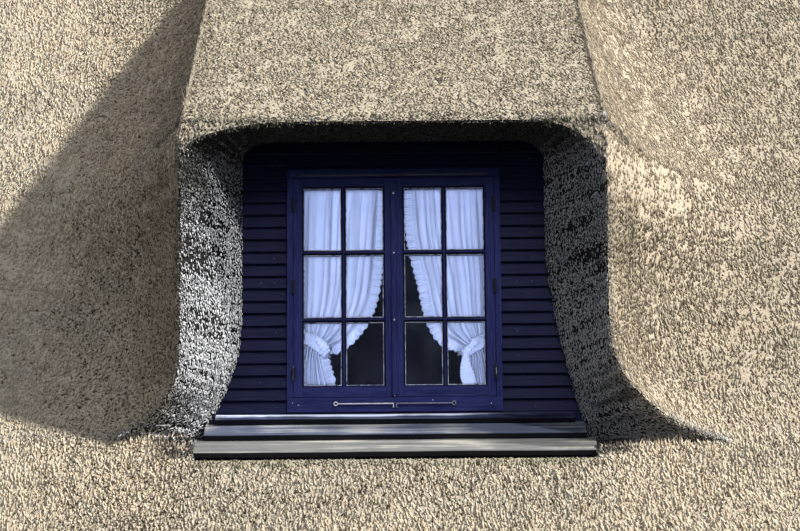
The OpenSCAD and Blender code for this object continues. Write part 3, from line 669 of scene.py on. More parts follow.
def end_shape():
    """One reed end: three-sided at its cut tip, closing to a point at its root, a unit long down -Z."""
    bm = bmesh.new()
    bmesh.ops.create_cone(bm, cap_ends=True, segments=3, radius1=0, radius2=1, depth=1)
    bmesh.ops.translate(bm, verts=bm.verts, vec=(0, 0, -0.5))
    bmesh.ops.remove_doubles(bm, verts=bm.verts, dist=1e-6)
    bm.verts.index_update()
    points = np.array([v.co for v in bm.verts])
    faces = np.array([[v.index for v in f.verts] for f in bm.faces])
    bm.free()
    return points, faces


END_POINTS, END_FACES = end_shape()
AT_TIP = END_POINTS[:, 2] > -0.5


def end_cell():
    """Places the faces of one reed end in a unit square: its sides in the lower half, its tip above."""
    places, side = [], 0
    for face in END_FACES:
        if all(AT_TIP[i] for i in face):
            places += [(0.1, 0.55), (0.9, 0.55), (0.5, 0.95)]
        else:
            corners = iter(((side, 0.45), (side + 0.3, 0.45)))
            places += [next(corners) if AT_TIP[i] else (side + 0.15, 0.03) for i in face]
            side += 0.33
    return np.array(places) * 0.94 + 0.03


END_CELL = end_cell()


def joined_ends(name, places, own, material):
    """One mesh of reed ends at these places, each end with its own tone and its own cell of the map."""
    number = np.arange(len(places))
    faces = END_FACES + number[:, None, None] * len(END_POINTS)
    mesh = bpy.data.meshes.new(name)
    mesh.from_pydata(places.reshape(-1, 3), [], faces.reshape(-1, 3), shade_flat=False)
    mesh.attributes.new("reed", "FLOAT_COLOR", "POINT").data.foreach_set("color", own.ravel())
    across = math.ceil(math.sqrt(len(places)))
    cell = np.stack([number % across, number // across], 1)[:, None, :]
    layer = mesh.uv_layers.new(name="OFBake")
    layer.data.foreach_set("uv", ((cell + END_CELL) / across).astype(np.float32).ravel())
    finished(name, mesh, material)


def reed_ends(name, points, normals, material, lift, stand, radius, length, lean=0.22, reach=(0, 0), rim=0,
              flatness=(0.4, 0.7)):
    """Joins one reed end per point: lift tips it out of the surface, stand is its tip's height over it,
    reach how far the tip runs on down the roof and rim how near it is to the window's opening."""
    count = len(points)
    flat = lengthwise(normals)
    sway = rng.normal(0, lean, count) + slow_noise(points, 0.45, 3.0) * 0.22
    out = lift + rng.normal(0, 0.07, count)
    axis = unit(flat + np.cross(normals, flat) * sway[:, None] + normals * out[:, None])
    bulge = slow_noise(points, 0.07, 5.0) * 0.0015
    tips = points + normals * (stand[0] + rng.random(count) ** 1.3 * stand[1] + bulge)[:, None]
    tips += axis * (reach[0] + rng.random(count) ** 2 * reach[1])[:, None]
    first = unit(np.cross(axis, normals + rng.normal(0, 0.3, (count, 3))))
    wide = rng.uniform(*radius, count)
    narrow = wide * rng.uniform(*flatness, count)
    under_sill = (np.abs(points[:, 0]) < NOTCH) & (points[:, 2] < FOOT + 0.001)
    room = np.where(under_sill, np.maximum(FOOT - points[:, 2], 0) / SIN + 0.004, 1)
    long = np.minimum(rng.uniform(*length, count), room) * (1 - 0.65 * rim)
    sizes = ((first, wide), (np.cross(axis, first), narrow), (axis, long))
    places = sum((way[:, None, :] * (size[:, None] * END_POINTS[:, i])[..., None]
                  for i, (way, size) in enumerate(sizes)), tips[:, None, :])
    turned = np.clip(normals[:, 0] - 0.1, 0, 0.4)
    # Painted shade: a share of the ends get dark tones in place of deep pits between ends.
    shaded_pit = rng.random(count) < 0.09
    tone = np.where(shaded_pit, rng.random(count) * 0.12, 0.2 + 0.8 * rng.beta(2, 1.7, count) - 0.4 * turned)
    # Painted shade on ends that face down, above the sill.
    underside_shade = np.clip(-normals[:, 2] * 1.6 - 0.35, 0, 1) * (points[:, 2] > SILL)
    own = np.empty((count, len(END_POINTS), 4), np.float32)
    own[:, :, 0], own[:, :, 1] = tone[:, None], AT_TIP
    own[:, :, 2], own[:, :, 3] = underside_shade[:, None], np.broadcast_to(rim, count)[:, None]
    joined_ends(name, places, own, material)


# How reed ends stand over the roof, on the cut faces, along the lip, and loose here and there.
LAID = {"lift": 0.10, "stand": (-0.001, 0.004), "radius": (0.0062, 0.0092), "length": (0.06, 0.09)}
SHEARED = {"lift": 0.5, "stand": (0.003, 0.007), "length": (0.035, 0.055), "flatness": (0.5, 0.9)}
RAGGED = {"lift": 0.02, "stand": (-0.014, 0.018), "radius": (0.0024, 0.0044), "length": (0.06, 0.10),
          "lean": 0.35, "reach": (0.0, 0.040)}
LOOSE = {"lift": 0.14, "stand": (0.006, 0.014), "radius": (0.0022, 0.0038), "length": (0.12, 0.24),
         "lean": 0.5}
CUT_RADIUS = (0.0036, 0.0060)
LIP_WIDTH, LIP_ENDS = 0.028, 4  # the lip's reach from the cut faces, and its ends for each point
LOOSE_SHARE, LOOSE_MARGIN = 0.004, (0.2, 0.25)  # of the points, and their distance from the bay's edges


def reed_all_over():
    """Covers each thatch node's outer faces, its cut faces round the window and the lip between them."""
    cuts = {node: scattered(node, CUT_SPACING, True) for node in THATCH}
    opening = np.concatenate([points for points, normals in cuts.values()])
    tree = KDTree(len(opening))
    for i, place in enumerate(opening):
        tree.insert(place, i)
    tree.balance()
    for node in THATCH:
        part = node.replace("thatch", "reed")
        finish, rim_width = (reed_hood, 0.10) if node == "thatch_hood" else (reed_main, 0.055)
        points, normals = cuts[node]
        if len(points):
            fit = np.clip((WALL_Y - points[:, 1]) / 0.06, 0.45, 1)
            radius = [size * fit for size in CUT_RADIUS]
            reed_ends(part + "_cut_ends", points, normals, reed_cut, radius=radius, **SHEARED)
        points, normals = scattered(node, SPACING, False)
        gap = np.array([tree.find(p)[2] for p in points])
        rim = np.clip(1 - gap / rim_width, 0, 1)
        reed_ends(part + "_ends", points, normals, finish, rim=rim, **LAID)
        lip = np.repeat(np.flatnonzero(gap < LIP_WIDTH), LIP_ENDS)
        if len(lip) and node != "thatch_below":
            shift = rng.uniform(-0.012, 0.012, (len(lip), 3)) * (1, 0.4, 0.4)
            reed_ends(part + "_lip", points[lip] + shift, normals[lip], finish, rim=rim[lip], **RAGGED)
        inner = np.abs(points[:, 0]) < HALF_BAY - LOOSE_MARGIN[0]
        inner &= np.abs(points[:, 2] - TOP / 2) < TOP / 2 - LOOSE_MARGIN[1]
        loose = rng.choice(np.flatnonzero(inner), round(len(points) * LOOSE_SHARE), replace=False)
        reed_ends(part + "_loose", points[loose], normals[loose], finish, **LOOSE)


reed_all_over()


# Boards and planks

BUTT, TIP = WALL_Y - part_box("siding_left")[0].y, 0.010  # thickness of a board at its foot and its top
LAPS = 22
LAP = (LIP - SILL) / LAPS
LENGTH = 0.07  # of a board between two places where it may bend
SAG, TILT = 0.0012, 0.0022  # how far a board may be out of true


def wander(place, size, seed):
    """A smooth number from -1 to 1 at this place along a board."""
    return noise.noise(Vector((place / size, seed * 7.3, 0.4)))


def loft(bm, rings):
    """Skins rings of equally many points, closed at both ends."""
    made = [[bm.verts.new(p) for p in ring] for ring in rings]
    for one, two in zip(made, made[1:]):
        for i in range(len(one)):
            j = (i + 1) % len(one)
            bm.faces.new((one[i], one[j], two[j], two[i]))
    bm.faces.new(made[0][::-1])
    bm.faces.new(made[-1])


def weatherboards(node, first):
    """The boards of one stretch of wall, each lapped over the next below and slightly out of true."""
    low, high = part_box(node)
    bm = bmesh.new()
    steps = max(2, round((high.x - low.x) / LENGTH))
    for lap in range(first, LAPS):
        bottom, top = max(SILL + lap * LAP, low.z), SILL + (lap + 1) * LAP - 0.0005
        sag, tilt = rng.uniform(-SAG, SAG), rng.uniform(0, TILT)
        rings = []
        for i in range(steps + 1):
            x = low.x + (high.x - low.x) * i / steps
            dip = wander(x, 0.22, lap) * 0.0014 + sag
            out = BUTT - tilt + wander(x, 0.16, lap + 50) * SAG
            edge = max(low.z, bottom + dip)
            rings.append([
                (x, WALL_Y, edge), (x, WALL_Y - out + 0.0025, edge), (x, WALL_Y - out, edge + 0.0022),
                (x, WALL_Y - TIP - 0.0003, top), (x, WALL_Y, top),
            ])
        loft(bm, rings)
    bmesh.ops.recalc_face_normals(bm, faces=bm.faces)
    made_of(bm, node + "_boards", stained["navy_boards"], node)


weatherboards("siding_left", 0)
weatherboards("siding_right", 0)
weatherboards("siding_above", int((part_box("siding_above")[0].z - SILL) / LAP))


def worn_copy(node, width, wave, material, length=0.12):
    """A CAD node's own shape, cut into lengths, warped a little and eased along its edges."""
    bm = merged(node)
    low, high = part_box(node)
    ease(bm, width, segments=3)
    count = round((high.x - low.x) / length)
    for i in range(1, count):
        x = low.x + (high.x - low.x) * i / count
        every = list(bm.verts) + list(bm.edges) + list(bm.faces)
        bmesh.ops.bisect_plane(bm, geom=every, plane_co=(x, 0, 0), plane_no=(1, 0, 0))
    seed = rng.uniform(0, 50)
    for v in bm.verts:
        v.co.z += wander(v.co.x, 0.35, seed) * wave
        v.co.y += wander(v.co.x, 0.28, seed + 9) * wave
    made_of(bm, node + "_worn", material, node)


for plank, face, pale, gloss, sky_glint_share, width, wave in (
    ("top", (0.020, 0.024, 0.055), (0.12, 0.14, 0.23), 0.12, 1.0, 0.004, 0.0012),
    ("middle", (0.08, 0.09, 0.135), (0.36, 0.37, 0.35), 0.25, 0.0, 0.005, 0.0018),
    ("bottom", (0.17, 0.168, 0.162), (0.42, 0.395, 0.32), 0.4, 0.0, 0.006, 0.0022),
):
    wood = plank_finish(plank, face, pale, gloss, sky_glint_share)
    worn_copy("apron_plank_" + plank, width, wave, wood)


# Window frame and sashes

REBATE = 0.009
GLASS_LAP = REBATE - 0.001
BEAD, EDGE = 0.0012, 0.0014  # how far the putty and its worn edge stand in front of the glass


def panes_of(node):
    """The box of each pane in a node, as its ranges of x, y and z."""
    bm = merged(node)
    left, boxes = set(bm.verts), []
    while left:
        group, edge = set(), [left.pop()]
        while edge:
            v = edge.pop()
            group.add(v)
            edge += {e.other_vert(v) for e in v.link_edges} - group
        left -= group
        boxes.append([(min(v.co[i] for v in group), max(v.co[i] for v in group)) for i in range(3)])
    bm.free()
    return boxes


def ring(bm, x, z, section):
    """A mitred ring round an opening: section gives points as (distance into the opening, depth y)."""
    loops = []
    for into, y in section:
        wave = [rng.uniform(-0.0004, 0.0004) for _ in range(4)]
        loops.append([bm.verts.new(p) for p in (
            (x[0] + into + wave[0], y, z[0] + into + wave[1]),
            (x[1] - into + wave[1], y, z[0] + into + wave[2]),
            (x[1] - into + wave[2], y, z[1] - into + wave[3]),
            (x[0] + into + wave[3], y, z[1] - into + wave[0]),
        )])
    for one, two in zip(loops, loops[1:] + loops[:1]):
        for i in range(4):
            j = (i + 1) % 4
            bm.faces.new((one[i], one[j], two[j], two[i]))
    bmesh.ops.recalc_face_normals(bm, faces=bm.faces)


def sash(side):
    """A casement: stiles, rails and glazing bars, putty round each pane darkened as painted shade, and the
    putty's pale edge with a painted highlight.
    """
    low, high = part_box("sash_" + side)
    boxes = panes_of("glass_" + side)
    glass = boxes[0][1]
    columns, rows = [sorted({(round(b[i][0] + GLASS_LAP, 4), round(b[i][1] - GLASS_LAP, 4)) for b in boxes})
                     for i in (0, 2)]
    upright, level = bmesh.new(), bmesh.new()

    def member(bm, x, z, into=(0, 0), down=(0, 0)):
        """A piece of the sash: its front leaves a rebate, or runs on, at the ends of ranges x and z."""
        block(bm, x, (glass[1], high.y), z)
        block(bm, (x[0] + into[0] * REBATE, x[1] + into[1] * REBATE), (low.y, glass[1]),
              (z[0] + down[0] * REBATE, z[1] + down[1] * REBATE))

    left, right, bottom, top = columns[0][0], columns[-1][1], rows[0][0], rows[-1][1]
    member(upright, (low.x, left), (low.z, high.z), (0, -1))
    member(upright, (right, high.x), (low.z, high.z), (1, 0))
    for one, two in zip(columns, columns[1:]):
        member(upright, (one[1], two[0]), (bottom, top), (1, -1), (-1, 1))
    member(level, (left, right), (low.z, bottom), (-1, 1), (0, -1))
    member(level, (left, right), (top, high.z), (-1, 1), (1, 0))
    for one, two in zip(rows, rows[1:]):
        for column in columns:
            member(level, column, (one[1], two[0]), (-1, 1), (1, -1))
    bead, edge = bmesh.new(), bmesh.new()
    slope = [(-REBATE, low.y + 0.0008), (-REBATE, glass[0]), (0.0, glass[0]), (0.0, glass[0] - BEAD)]
    line = [(0.0002, glass[0] - EDGE), (0.0002, glass[0]), (0.0036, glass[0]), (0.0030, glass[0] - 0.001)]
    for column in columns:
        for row in rows:
            ring(bead, column, row, slope)
            ring(edge, column, row, line)
    made_of(upright, f"sash_{side}_uprights", stained["navy_upright"], "sash_" + side)
    made_of(level, f"sash_{side}_rails", stained["navy_level"])
    made_of(bead, "putty_" + side, stained["navy_putty"])
    made_of(edge, "putty_edge_" + side, putty)


for side in SIDES:
    sash(side)
    dress("glass_" + side, pane)
    dress("stay_" + side, metal["stay_metal_" + side])
    eased_copy("frame_jamb_" + side, 0.0022, stained["navy_upright"])
for node, width, wood in (
    ("frame_head", 0.0022, "navy_level"), ("frame_sill", 0.003, "navy_level"),
    ("meeting_strip", 0.003, "navy_upright"), ("head_drip", 0.002, "navy_drip"),
):
    eased_copy(node, width, stained[wood])
eased_copy("sill_board", 0.003, stained["navy_boards"])
dress("hinges", hinge_finish((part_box("hinges")[1].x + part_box("sash_right")[1].x) / 2 - 0.0055))
dress("curtain_rod", rod_finish())


def button(bm, at, radius, height, facing=Vector((0, -1, 0))):
    """A low round head standing on a face: a nail, screw or pin."""
    turn = facing.to_track_quat("Z", "Y").to_matrix().to_4x4()
    rim, crown = (1.0, 0.94, -0.3, 0.8), (0.94, 0.5, 0.5, 0.5)
    for wide, narrow, start, tall in (rim, crown):
        place = Matrix.Translation(Vector(at) + facing * height * (start + tall / 2)) @ turn
        bmesh.ops.create_cone(bm, cap_ends=True, segments=12, radius1=radius * wide, radius2=radius * narrow,
                              depth=height * tall, matrix=place)


# Places of the fixings: heights and widths from the sill's foot and the window's middle.
STRIP_SCREWS = (0.482, 0.839, 1.16)
STAY_PINS = ((0.195, 0.06), (-0.497, 0.039), (0.497, 0.041), (-0.528, 0.05))
NAIL_COLUMNS = ((-0.69, -0.62, -0.93), (0.64, 0.72, 0.93))
NAILED = 0.45  # share of the places on the boards that hold a nail
SCREW, PIN, NAIL = (0.0045, 0.0016), (0.0034, 0.0016), (0.0024, 0.0008)  # radius and height of each head


def fixings():
    """Screws of the meeting strip, the stays' pins, the boards' nails and the blocks beside the head drip."""
    strip, drip, frame_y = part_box("meeting_strip"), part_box("head_drip"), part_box("frame_head")[0].y
    screws, nails, ends = bmesh.new(), bmesh.new(), bmesh.new()
    for z in STRIP_SCREWS:
        button(screws, ((strip[0].x + strip[1].x) / 2, strip[0].y, SILL + z), *SCREW)
    for x, z in STAY_PINS:
        button(screws, (x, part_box("frame_sill")[0].y, SILL + z), *PIN)
    for columns in NAIL_COLUMNS:
        for lap in range(0, LAPS, 2):
            for x in columns:
                if rng.random() < NAILED:
                    place = (x + rng.uniform(-0.006, 0.006), WALL_Y - (BUTT + TIP) / 2 - 0.001)
                    button(nails, (*place, SILL + (lap + 0.45) * LAP), *NAIL)
    for s in SIDES.values():
        x = sorted((s * drip[1].x, s * (drip[1].x + 0.048)))
        block(ends, x, (frame_y - 0.010, frame_y), (drip[0].z - 0.004, drip[1].z + 0.006), 0.0015)
    made_of(screws, "window_screws", metal["screw_metal"])
    made_of(nails, "board_nails", metal["nail_metal"])
    made_of(ends, "head_blocks", stained["navy_level"])


fixings()


# Curtains

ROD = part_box("curtain_rod")
CLOTH_Y = (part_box("curtain_left")[0].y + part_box("curtain_left")[1].y) / 2
ROD_Z = (ROD[0].z + ROD[1].z) / 2
THICK = 0.0006
WIDTH, PLEATS = 0.66, 6  # a curtain's cut width, and how many pleats take it up
POCKET = 0.0105  # radius of its turn over the rod
TIE_ROWS, TAIL_ROWS = 58, 26  # rows of points down to the tie and from there on
FRILL, GATHER, RUFFLE = 0.050, 0.0125, 0.036  # a frill's width, and the lengths of its waves
BACKWARDS = np.array([[0.0, 1.0, 0.0]])


def cloth(name, points, size, node=None):
    """A thin closed cloth over rows of points, with its weave laid out in metres."""
    points = np.asarray(points, float)
    rows, columns = points.shape[:2]
    down, along = np.gradient(points, axis=0), np.gradient(points, axis=1)
    normals = np.cross(down, along)
    normals /= np.maximum(np.linalg.norm(normals, axis=2), 1e-9)[..., None]
    bm = bmesh.new()
    weave = bm.loops.layers.uv.new("UVMap")
    sides = []
    for way in (1, -1):
        made = [[bm.verts.new(p) for p in row] for row in points + normals * THICK / 2 * way]
        sides.append(made)
        for j in range(rows - 1):
            for i in range(columns - 1):
                corners = [(j, i), (j, i + 1), (j + 1, i + 1), (j + 1, i)][::-way]
                face = bm.faces.new([made[a][b] for a, b in corners])
                for loop, (a, b) in zip(face.loops, corners):
                    loop[weave].uv = (b / (columns - 1) * size[0], a / (rows - 1) * size[1])
    front, back = sides
    border = [(0, i) for i in range(columns)] + [(j, columns - 1) for j in range(1, rows)]
    border += [(rows - 1, i) for i in range(columns - 2, -1, -1)] + [(j, 0) for j in range(rows - 2, 0, -1)]
    for (a, b), (c, d) in zip(border, border[1:] + border[:1]):
        bm.faces.new((front[a][b], back[a][b], back[c][d], front[c][d]))
    bmesh.ops.recalc_face_normals(bm, faces=bm.faces)
    piece = made_of(bm, name, muslin, node)
    piece.data.shade_smooth()
    return piece


def steps_of(points):
    """The length of each step from a point to the next."""
    return np.linalg.norm(np.diff(points, axis=0), axis=1)


def evenly(points, count):
    """Points spaced evenly along a line of points, their distances along it and those of the given points."""
    run = np.concatenate([[0], np.cumsum(steps_of(points))])
    want = np.linspace(0, run[-1], count)
    return np.stack([np.interp(want, run, column) for column in points.T], 1), want, run


def along_path(path, count):
    """Points evenly spaced along a smooth line through these places."""
    knots = [Vector(p) for p in path]
    knots = [knots[0] * 2 - knots[1]] + knots + [knots[-1] * 2 - knots[-2]]
    fine = []
    for a, b, c, d in zip(knots, knots[1:], knots[2:], knots[3:]):
        for t in (k / 16 for k in range(16)):
            fine.append(((b * 2) + (c - a) * t + (a * 2 - b * 5 + c * 4 - d) * t * t
                         + (b * 3 - a - c * 3 + d) * t ** 3) * 0.5)
    return evenly(np.array(fine + [knots[-2]]), count)[0]


def pleat_depth(ratio):
    """Depth of a wave, over its length, that takes up this much more cloth than its straight length."""
    low, high = 0.0, 8.0
    t = np.linspace(0, 1, 65)
    for _ in range(30):
        middle = (low + high) / 2
        arc = np.hypot(np.diff(t), np.diff(middle / 2 * np.cos(2 * np.pi * t))).sum()
        low, high = (middle, high) if arc < ratio else (low, middle)
    return low


def pleated(far, near, s):
    """Rows of points from a curtain's fixed edge to its free one, folded into pleats that use its width."""
    share = np.linspace(0, 1, PLEATS * 20 + 1)
    phase = share + 0.018 * np.sin(share * 14 + 1.3 * s) + 0.010 * np.sin(share * 31)
    points = np.zeros((len(far), len(share), 3))
    for j in range(len(far)):
        across = near[j] - far[j]
        before, after = near[max(j - 1, 0)], near[min(j + 1, len(far) - 1)]
        heading = (after - before) / max(np.linalg.norm(after - before), 1e-6)
        wide = np.linalg.norm(across)
        square = abs(across[0] * heading[1] - across[1] * heading[0]) / wide
        wide *= 0.5 + 0.5 * square
        depth = pleat_depth(max(1.02, WIDTH / wide)) * wide / PLEATS
        slack = 0.35 + 0.65 * min(1, j / 10)
        wave = np.cos(2 * np.pi * PLEATS * phase + 0.35 * math.sin(j / 17))
        small = np.cos(2 * np.pi * PLEATS * 3 * phase + 1.0) * (1 - slack) * 0.3
        lean = np.sin(4 * np.pi * PLEATS * phase) * min(depth, wide / PLEATS) * 0.10
        even = share + lean / wide
        points[j, :, 0] = s * (far[j, 0] + across[0] * even)
        points[j, :, 1] = CLOTH_Y + depth / 2 * (wave * slack + small)
        points[j, :, 2] = far[j, 1] + across[1] * even
    return points


def rod_pocket(top):
    """Rows that carry a curtain's top row up over the rod."""
    rows = []
    for blend, turn in zip(np.linspace(0, 1, 9)[:-1], np.linspace(-2.2, 0.3, 9)):
        row = top.copy()
        over_y = CLOTH_Y - math.cos(turn) * POCKET + (row[:, 1] - CLOTH_Y) * 0.12
        over_z = ROD_Z - math.sin(turn) * POCKET
        row[:, 1] = over_y * (1 - blend) + row[:, 1] * blend
        row[:, 2] = over_z * (1 - blend) + row[:, 2] * blend
        rows.append(row)
    return rows


def curtain(side, inner, tail, outer, outer_tail):
    """One curtain gathered on the rod, held aside by its tie, with a gathered frill down its free edge."""
    edges = []
    for upper, lower in ((outer, outer_tail), (inner, tail)):
        top, rest = along_path(upper, TIE_ROWS), along_path([upper[-1]] + lower, TAIL_ROWS)
        edges.append(np.concatenate([top, rest[1:]]))
    points = pleated(*edges, SIDES[side])
    length = max(steps_of(edge).sum() for edge in edges)
    sheet = np.concatenate([rod_pocket(points[0]), points])
    body = cloth(f"curtain_{side}_cloth", sheet, (WIDTH, length), "curtain_" + side)
    frill = gathered(points[:, -1], 6 * len(points), SIDES[side])
    trim = cloth("frill_" + side, frill, (1.7 * length, FRILL))


def gathered(seam, count, s):
    """A frill sewn along a seam: tight gathers at the stitching that open to loose ruffles."""
    line, want, run = evenly(seam, count)
    for _ in range(6):
        line[1:-1] = (line[:-2] + line[1:-1] * 2 + line[2:]) / 4
    heading = unit(np.gradient(line, axis=0))
    out = unit(np.cross(heading, BACKWARDS))
    flip = np.where((out @ np.array([-s, 0, 0])) < 0, -1, 1)
    out = out * np.sign(np.convolve(flip, np.ones(25), "same") + 0.1)[:, None]
    tight = 2 * np.pi * want / GATHER
    loose = 2 * np.pi * (want + 0.006 * np.sin(want * 40)) / RUFFLE
    tie = np.interp(TIE_ROWS, np.arange(len(run)), run)
    pinch = 1 - 0.72 * np.exp(-((want - tie) / 0.035) ** 2)
    rows = []
    for t in np.linspace(0, 1, 8):
        lift = np.sin(tight) * 0.0022 * (1 - t) ** 0.7
        lift = lift + np.sin(loose) * 0.0105 * t ** 1.2 + np.sin(loose * 2.3) * 0.002 * t
        reach = FRILL * t * (1 + 0.10 * np.cos(loose) * t) * pinch
        row = line + out * reach[:, None] + heading * (np.cos(loose * 2 + 1) * 0.0022 * t)[:, None]
        row[:, 1] = line[:, 1] + lift
        rows.append(row)
    return np.array(rows)


def ribbon(name, side, rests_on, ruffle, widths, *path):
    """A strip of muslin, its edges ruffled, along places given as (from the middle, from the cloth, z)."""
    s = SIDES[side]
    line = along_path([(x, CLOTH_Y + y, z) for x, y, z in path], max(24, 14 * len(path)))
    line[:, 0] *= s
    heading = unit(np.gradient(line, axis=0))
    across = unit(np.cross(heading, BACKWARDS) + np.array([[0, 0, 1e-4]]))
    flip = np.cumprod(np.concatenate([[1.0], np.where((across[1:] * across[:-1]).sum(1) < 0, -1.0, 1.0)]))
    across = across * flip[:, None]
    face = np.cross(across, heading)
    run = np.linspace(0, 1, len(line))
    length = steps_of(line).sum()
    wide = np.interp(run, np.linspace(0, 1, len(widths)), widths)
    rows = []
    for t in np.linspace(-1, 1, 9):
        wave = np.sin(run * length * 2 * np.pi / 0.021 + 1.5 * t + s) * ruffle * abs(t) ** 1.5
        crease = np.cos(t * 5 + run * 3) * 0.0012
        rows.append(line + across * (wide * t / 2)[:, None] + face * (wave + crease)[:, None])
    points = np.array(rows)
    cloth(name, points, (length, max(widths)))


TOP_Z = ROD_Z - 0.004
curtain(
    "left",
    [(0.080, TOP_Z), (0.094, 2.35), (0.114, 2.12), (0.135, 2.00), (0.168, 1.91), (0.213, 1.84),
     (0.278, 1.775), (0.340, 1.745), (0.372, 1.738)],
    [(0.392, 1.69), (0.378, 1.62), (0.362, 1.56), (0.352, 1.49)],
    [(0.538, TOP_Z), (0.535, 2.2), (0.520, 1.95), (0.490, 1.83), (0.468, 1.775)],
    [(0.478, 1.70), (0.505, 1.60), (0.525, 1.458)],
)
curtain(
    "right",
    [(0.100, TOP_Z), (0.112, 2.36), (0.142, 2.20), (0.172, 2.08), (0.195, 1.96), (0.222, 1.87),
     (0.262, 1.800), (0.320, 1.765), (0.372, 1.735)],
    [(0.400, 1.68), (0.398, 1.62), (0.405, 1.55), (0.412, 1.49)],
    [(0.538, TOP_Z), (0.535, 2.2), (0.522, 1.95), (0.495, 1.82), (0.470, 1.765)],
    [(0.484, 1.70), (0.508, 1.60), (0.525, 1.458)],
)
ribbon("tie_left", "left", "curtain_left_cloth", 0.006, (0.040, 0.074, 0.066, 0.050, 0.040),
       (0.548, -0.010, 1.806), (0.500, -0.036, 1.792), (0.440, -0.040, 1.772), (0.390, -0.036, 1.738),
       (0.352, -0.014, 1.712), (0.354, 0.016, 1.714), (0.400, 0.036, 1.740), (0.470, 0.036, 1.775),
       (0.548, 0.010, 1.806))
ribbon("tie_left_fold", "left", "tie_left", 0.004, (0.030, 0.044, 0.036),
       (0.408, -0.040, 1.776), (0.386, -0.052, 1.757), (0.364, -0.051, 1.728), (0.352, -0.028, 1.700))
ribbon("tie_right", "right", "curtain_right_cloth", 0.005, (0.040, 0.060, 0.050, 0.044, 0.040),
       (0.548, -0.010, 1.800), (0.500, -0.036, 1.782), (0.450, -0.040, 1.756), (0.400, -0.036, 1.716),
       (0.356, -0.014, 1.690), (0.358, 0.016, 1.694), (0.405, 0.036, 1.722), (0.475, 0.036, 1.768),
       (0.548, 0.010, 1.800))
ribbon("bow_loop", "right", "tie_right", 0.003, (0.020, 0.040, 0.046, 0.036, 0.020),
       (0.392, -0.044, 1.712), (0.418, -0.058, 1.748), (0.446, -0.054, 1.758), (0.452, -0.046, 1.738),
       (0.420, -0.042, 1.716), (0.388, -0.044, 1.704))
ribbon("bow_knot", "right", "tie_right", 0.002, (0.026, 0.034, 0.028),
       (0.398, -0.042, 1.728), (0.390, -0.056, 1.716), (0.376, -0.058, 1.700), (0.366, -0.044, 1.686))
ribbon("bow_tail", "right", "tie_right", 0.006, (0.018, 0.052, 0.078, 0.072),
       (0.376, -0.048, 1.698), (0.370, -0.052, 1.660), (0.372, -0.050, 1.610), (0.382, -0.048, 1.560),
       (0.398, -0.046, 1.510))


# Roof timbers

for node in THATCH:
    dress(node, thatch_body)
for node in ("battens_below", "battens_sides", "battens_hood"):
    dress(node, sawn["timber_level"])
dress("lining_boards", lining_finish())
for wood, nodes in (
    (sawn["timber_level"], ("head_beam", "sill_beam", "wall_plate", "headers")),
    (sawn["timber_upright"], ("front_posts",)),
    (stained["bearer_wood"], ("apron_bearers",)),
    (sawn["timber_main"], ("rafters", "trimmers", "jack_rafters", "cheek_left", "cheek_right")),
    (sawn["timber_hood"], ("hood_rafters",)),
):
    for node in nodes:
        eased_copy(node, 0.003, wood)


# Floor, light and camera

def pale_floor(half_wide=20, half_deep=14.7, middle_y=10.3):
    bm = bmesh.new()
    place = Matrix.Translation((0, middle_y, 0)) @ Matrix.Diagonal((half_wide, half_deep, 1, 1))
    bmesh.ops.create_grid(bm, x_segments=1, y_segments=1, size=1, matrix=place)
    floor = stood("floor", mesh_from("floor", bm))
    f = Finish("floor_paint", {"Roughness": 0.9})
    f.set("Base Color", f.ramp(f.noise(0.8, 2), (0.3, (0.48, 0.48, 0.475)), (0.7, (0.51, 0.51, 0.505))))
    floor.data.materials.append(f.material)
    floor.visible_diffuse = False


def surroundings(above, ahead, below, background, indoors):
    """Even light from all round, less from below, with a plain background that is dark behind the panes."""
    world = bpy.data.worlds.new("studio")
    w = Tree(world, "Generated")
    lit = w.ramp(w.axis("Z") * 0.5 + 0.5, (0.40, below), (0.56, ahead), (0.85, above))
    depth, seen, mirrored, through = [w.add("ShaderNodeLightPath", {}, {}, ray) for ray in (
        "Transparent Depth", "Is Camera Ray", "Is Glossy Ray", "Is Transmission Ray")]
    behind = depth.math("GREATER_THAN", 0.5) * w.axis("Y").math("GREATER_THAN", 0.0)
    backdrop = w.mix(behind, background, indoors)
    direct = seen.math("MAXIMUM", mirrored.math("MAXIMUM", through))
    lights = [w.add("ShaderNodeBackground", {}, [colour]) for colour in (lit, backdrop)]
    w.add("ShaderNodeOutputWorld", {}, [w.add("ShaderNodeMixShader", {}, [direct, *lights])])
    bpy.context.scene.world = world


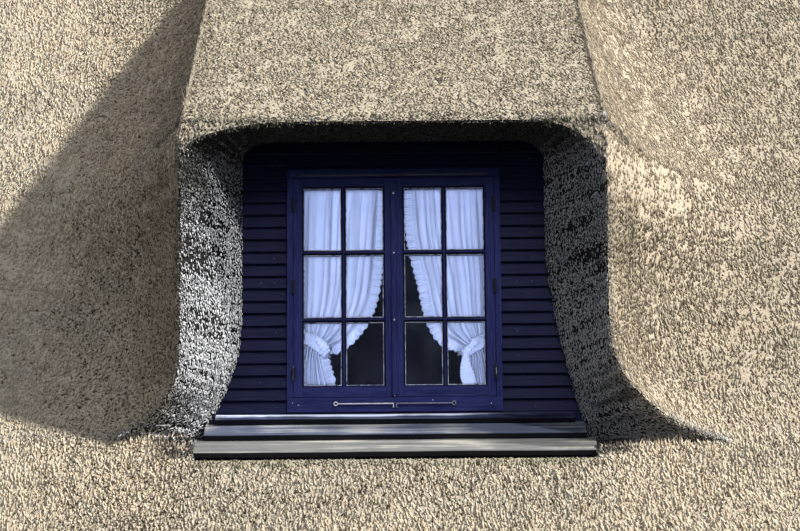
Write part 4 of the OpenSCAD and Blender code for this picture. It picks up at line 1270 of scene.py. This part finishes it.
def lamp(name, azimuth, elevation, strength, softness, only=(), colour=(1, 1, 1)):
    """A broad lamp from this side and height, in degrees from straight ahead, on all pieces or only some."""
    data = bpy.data.lights.new(name, "SUN")
    data.energy, data.angle, data.color = strength, math.radians(softness), colour
    a, e = math.radians(azimuth), math.radians(elevation)
    towards = Vector((math.sin(a) * math.cos(e), -math.cos(a) * math.cos(e), math.sin(e)))
    made = stood(name, data)
    made.rotation_euler = towards.to_track_quat("Z", "Y").to_euler()
    if only:
        made.light_linking.receiver_collection = bpy.data.collections.new(name + "_pieces")
        for piece in only:
            made.light_linking.receiver_collection.objects.link(piece)


def photo_camera():
    """The photograph's view: from below, straight on, through a long lens."""
    rise, roll = math.radians(13), math.radians(-0.5)
    ahead = Vector((0, math.cos(rise), math.sin(rise)))
    right = Vector((1, 0, 0))
    up = right.cross(ahead)
    right, up = right * math.cos(roll) + up * math.sin(roll), up * math.cos(roll) - right * math.sin(roll)
    data = bpy.data.cameras.new("camera")
    data.lens, data.sensor_width = 135, 36
    camera = stood("camera", data)
    turn = Matrix((right, up, -ahead)).transposed().to_4x4()
    camera.matrix_world = Matrix.Translation((0.032, -14.744, -1.383)) @ turn
    bpy.context.scene.camera = camera


pale_floor()
surroundings((0.61, 0.65, 0.755), (0.265, 0.285, 0.35), (0.03, 0.03, 0.03), (0.93, 0.93, 0.93),
             (0.004, 0.004, 0.005))
lamp("key", 76, 38, 6.0, 3)
pieces = {o.name: o for o in bpy.data.objects if o.type == "MESH"}
cloths = [o for name, o in pieces.items() if name.startswith(("curtain", "frill", "tie", "bow"))]
planks = [o for name, o in pieces.items() if name.startswith("apron")]
reveal = [o for name, o in pieces.items() if name.startswith("reed_left_cut")]
joinery = [o for name, o in pieces.items()
           if not name.startswith(("reed", "thatch", "floor")) and o not in cloths + planks]
SHADE_BLUE = (0.48, 0.60, 1.0)
lamp("window_fill", 22, 42, 1.8, 34, joinery)
lamp("curtain_fill", 0, -13, 2.45, 6, cloths, SHADE_BLUE)
lamp("curtain_fill_left", -26, -8, 1.4, 12, cloths, SHADE_BLUE)
lamp("curtain_fill_right", 26, -8, 1.4, 12, cloths, SHADE_BLUE)
lamp("reveal_fill", 60, 32, 5.3, 3, reveal)
lamp("plank_fill", 56, 32, 3.7, 3, planks)
photo_camera()
bpy.context.scene.view_settings.view_transform = "Standard"
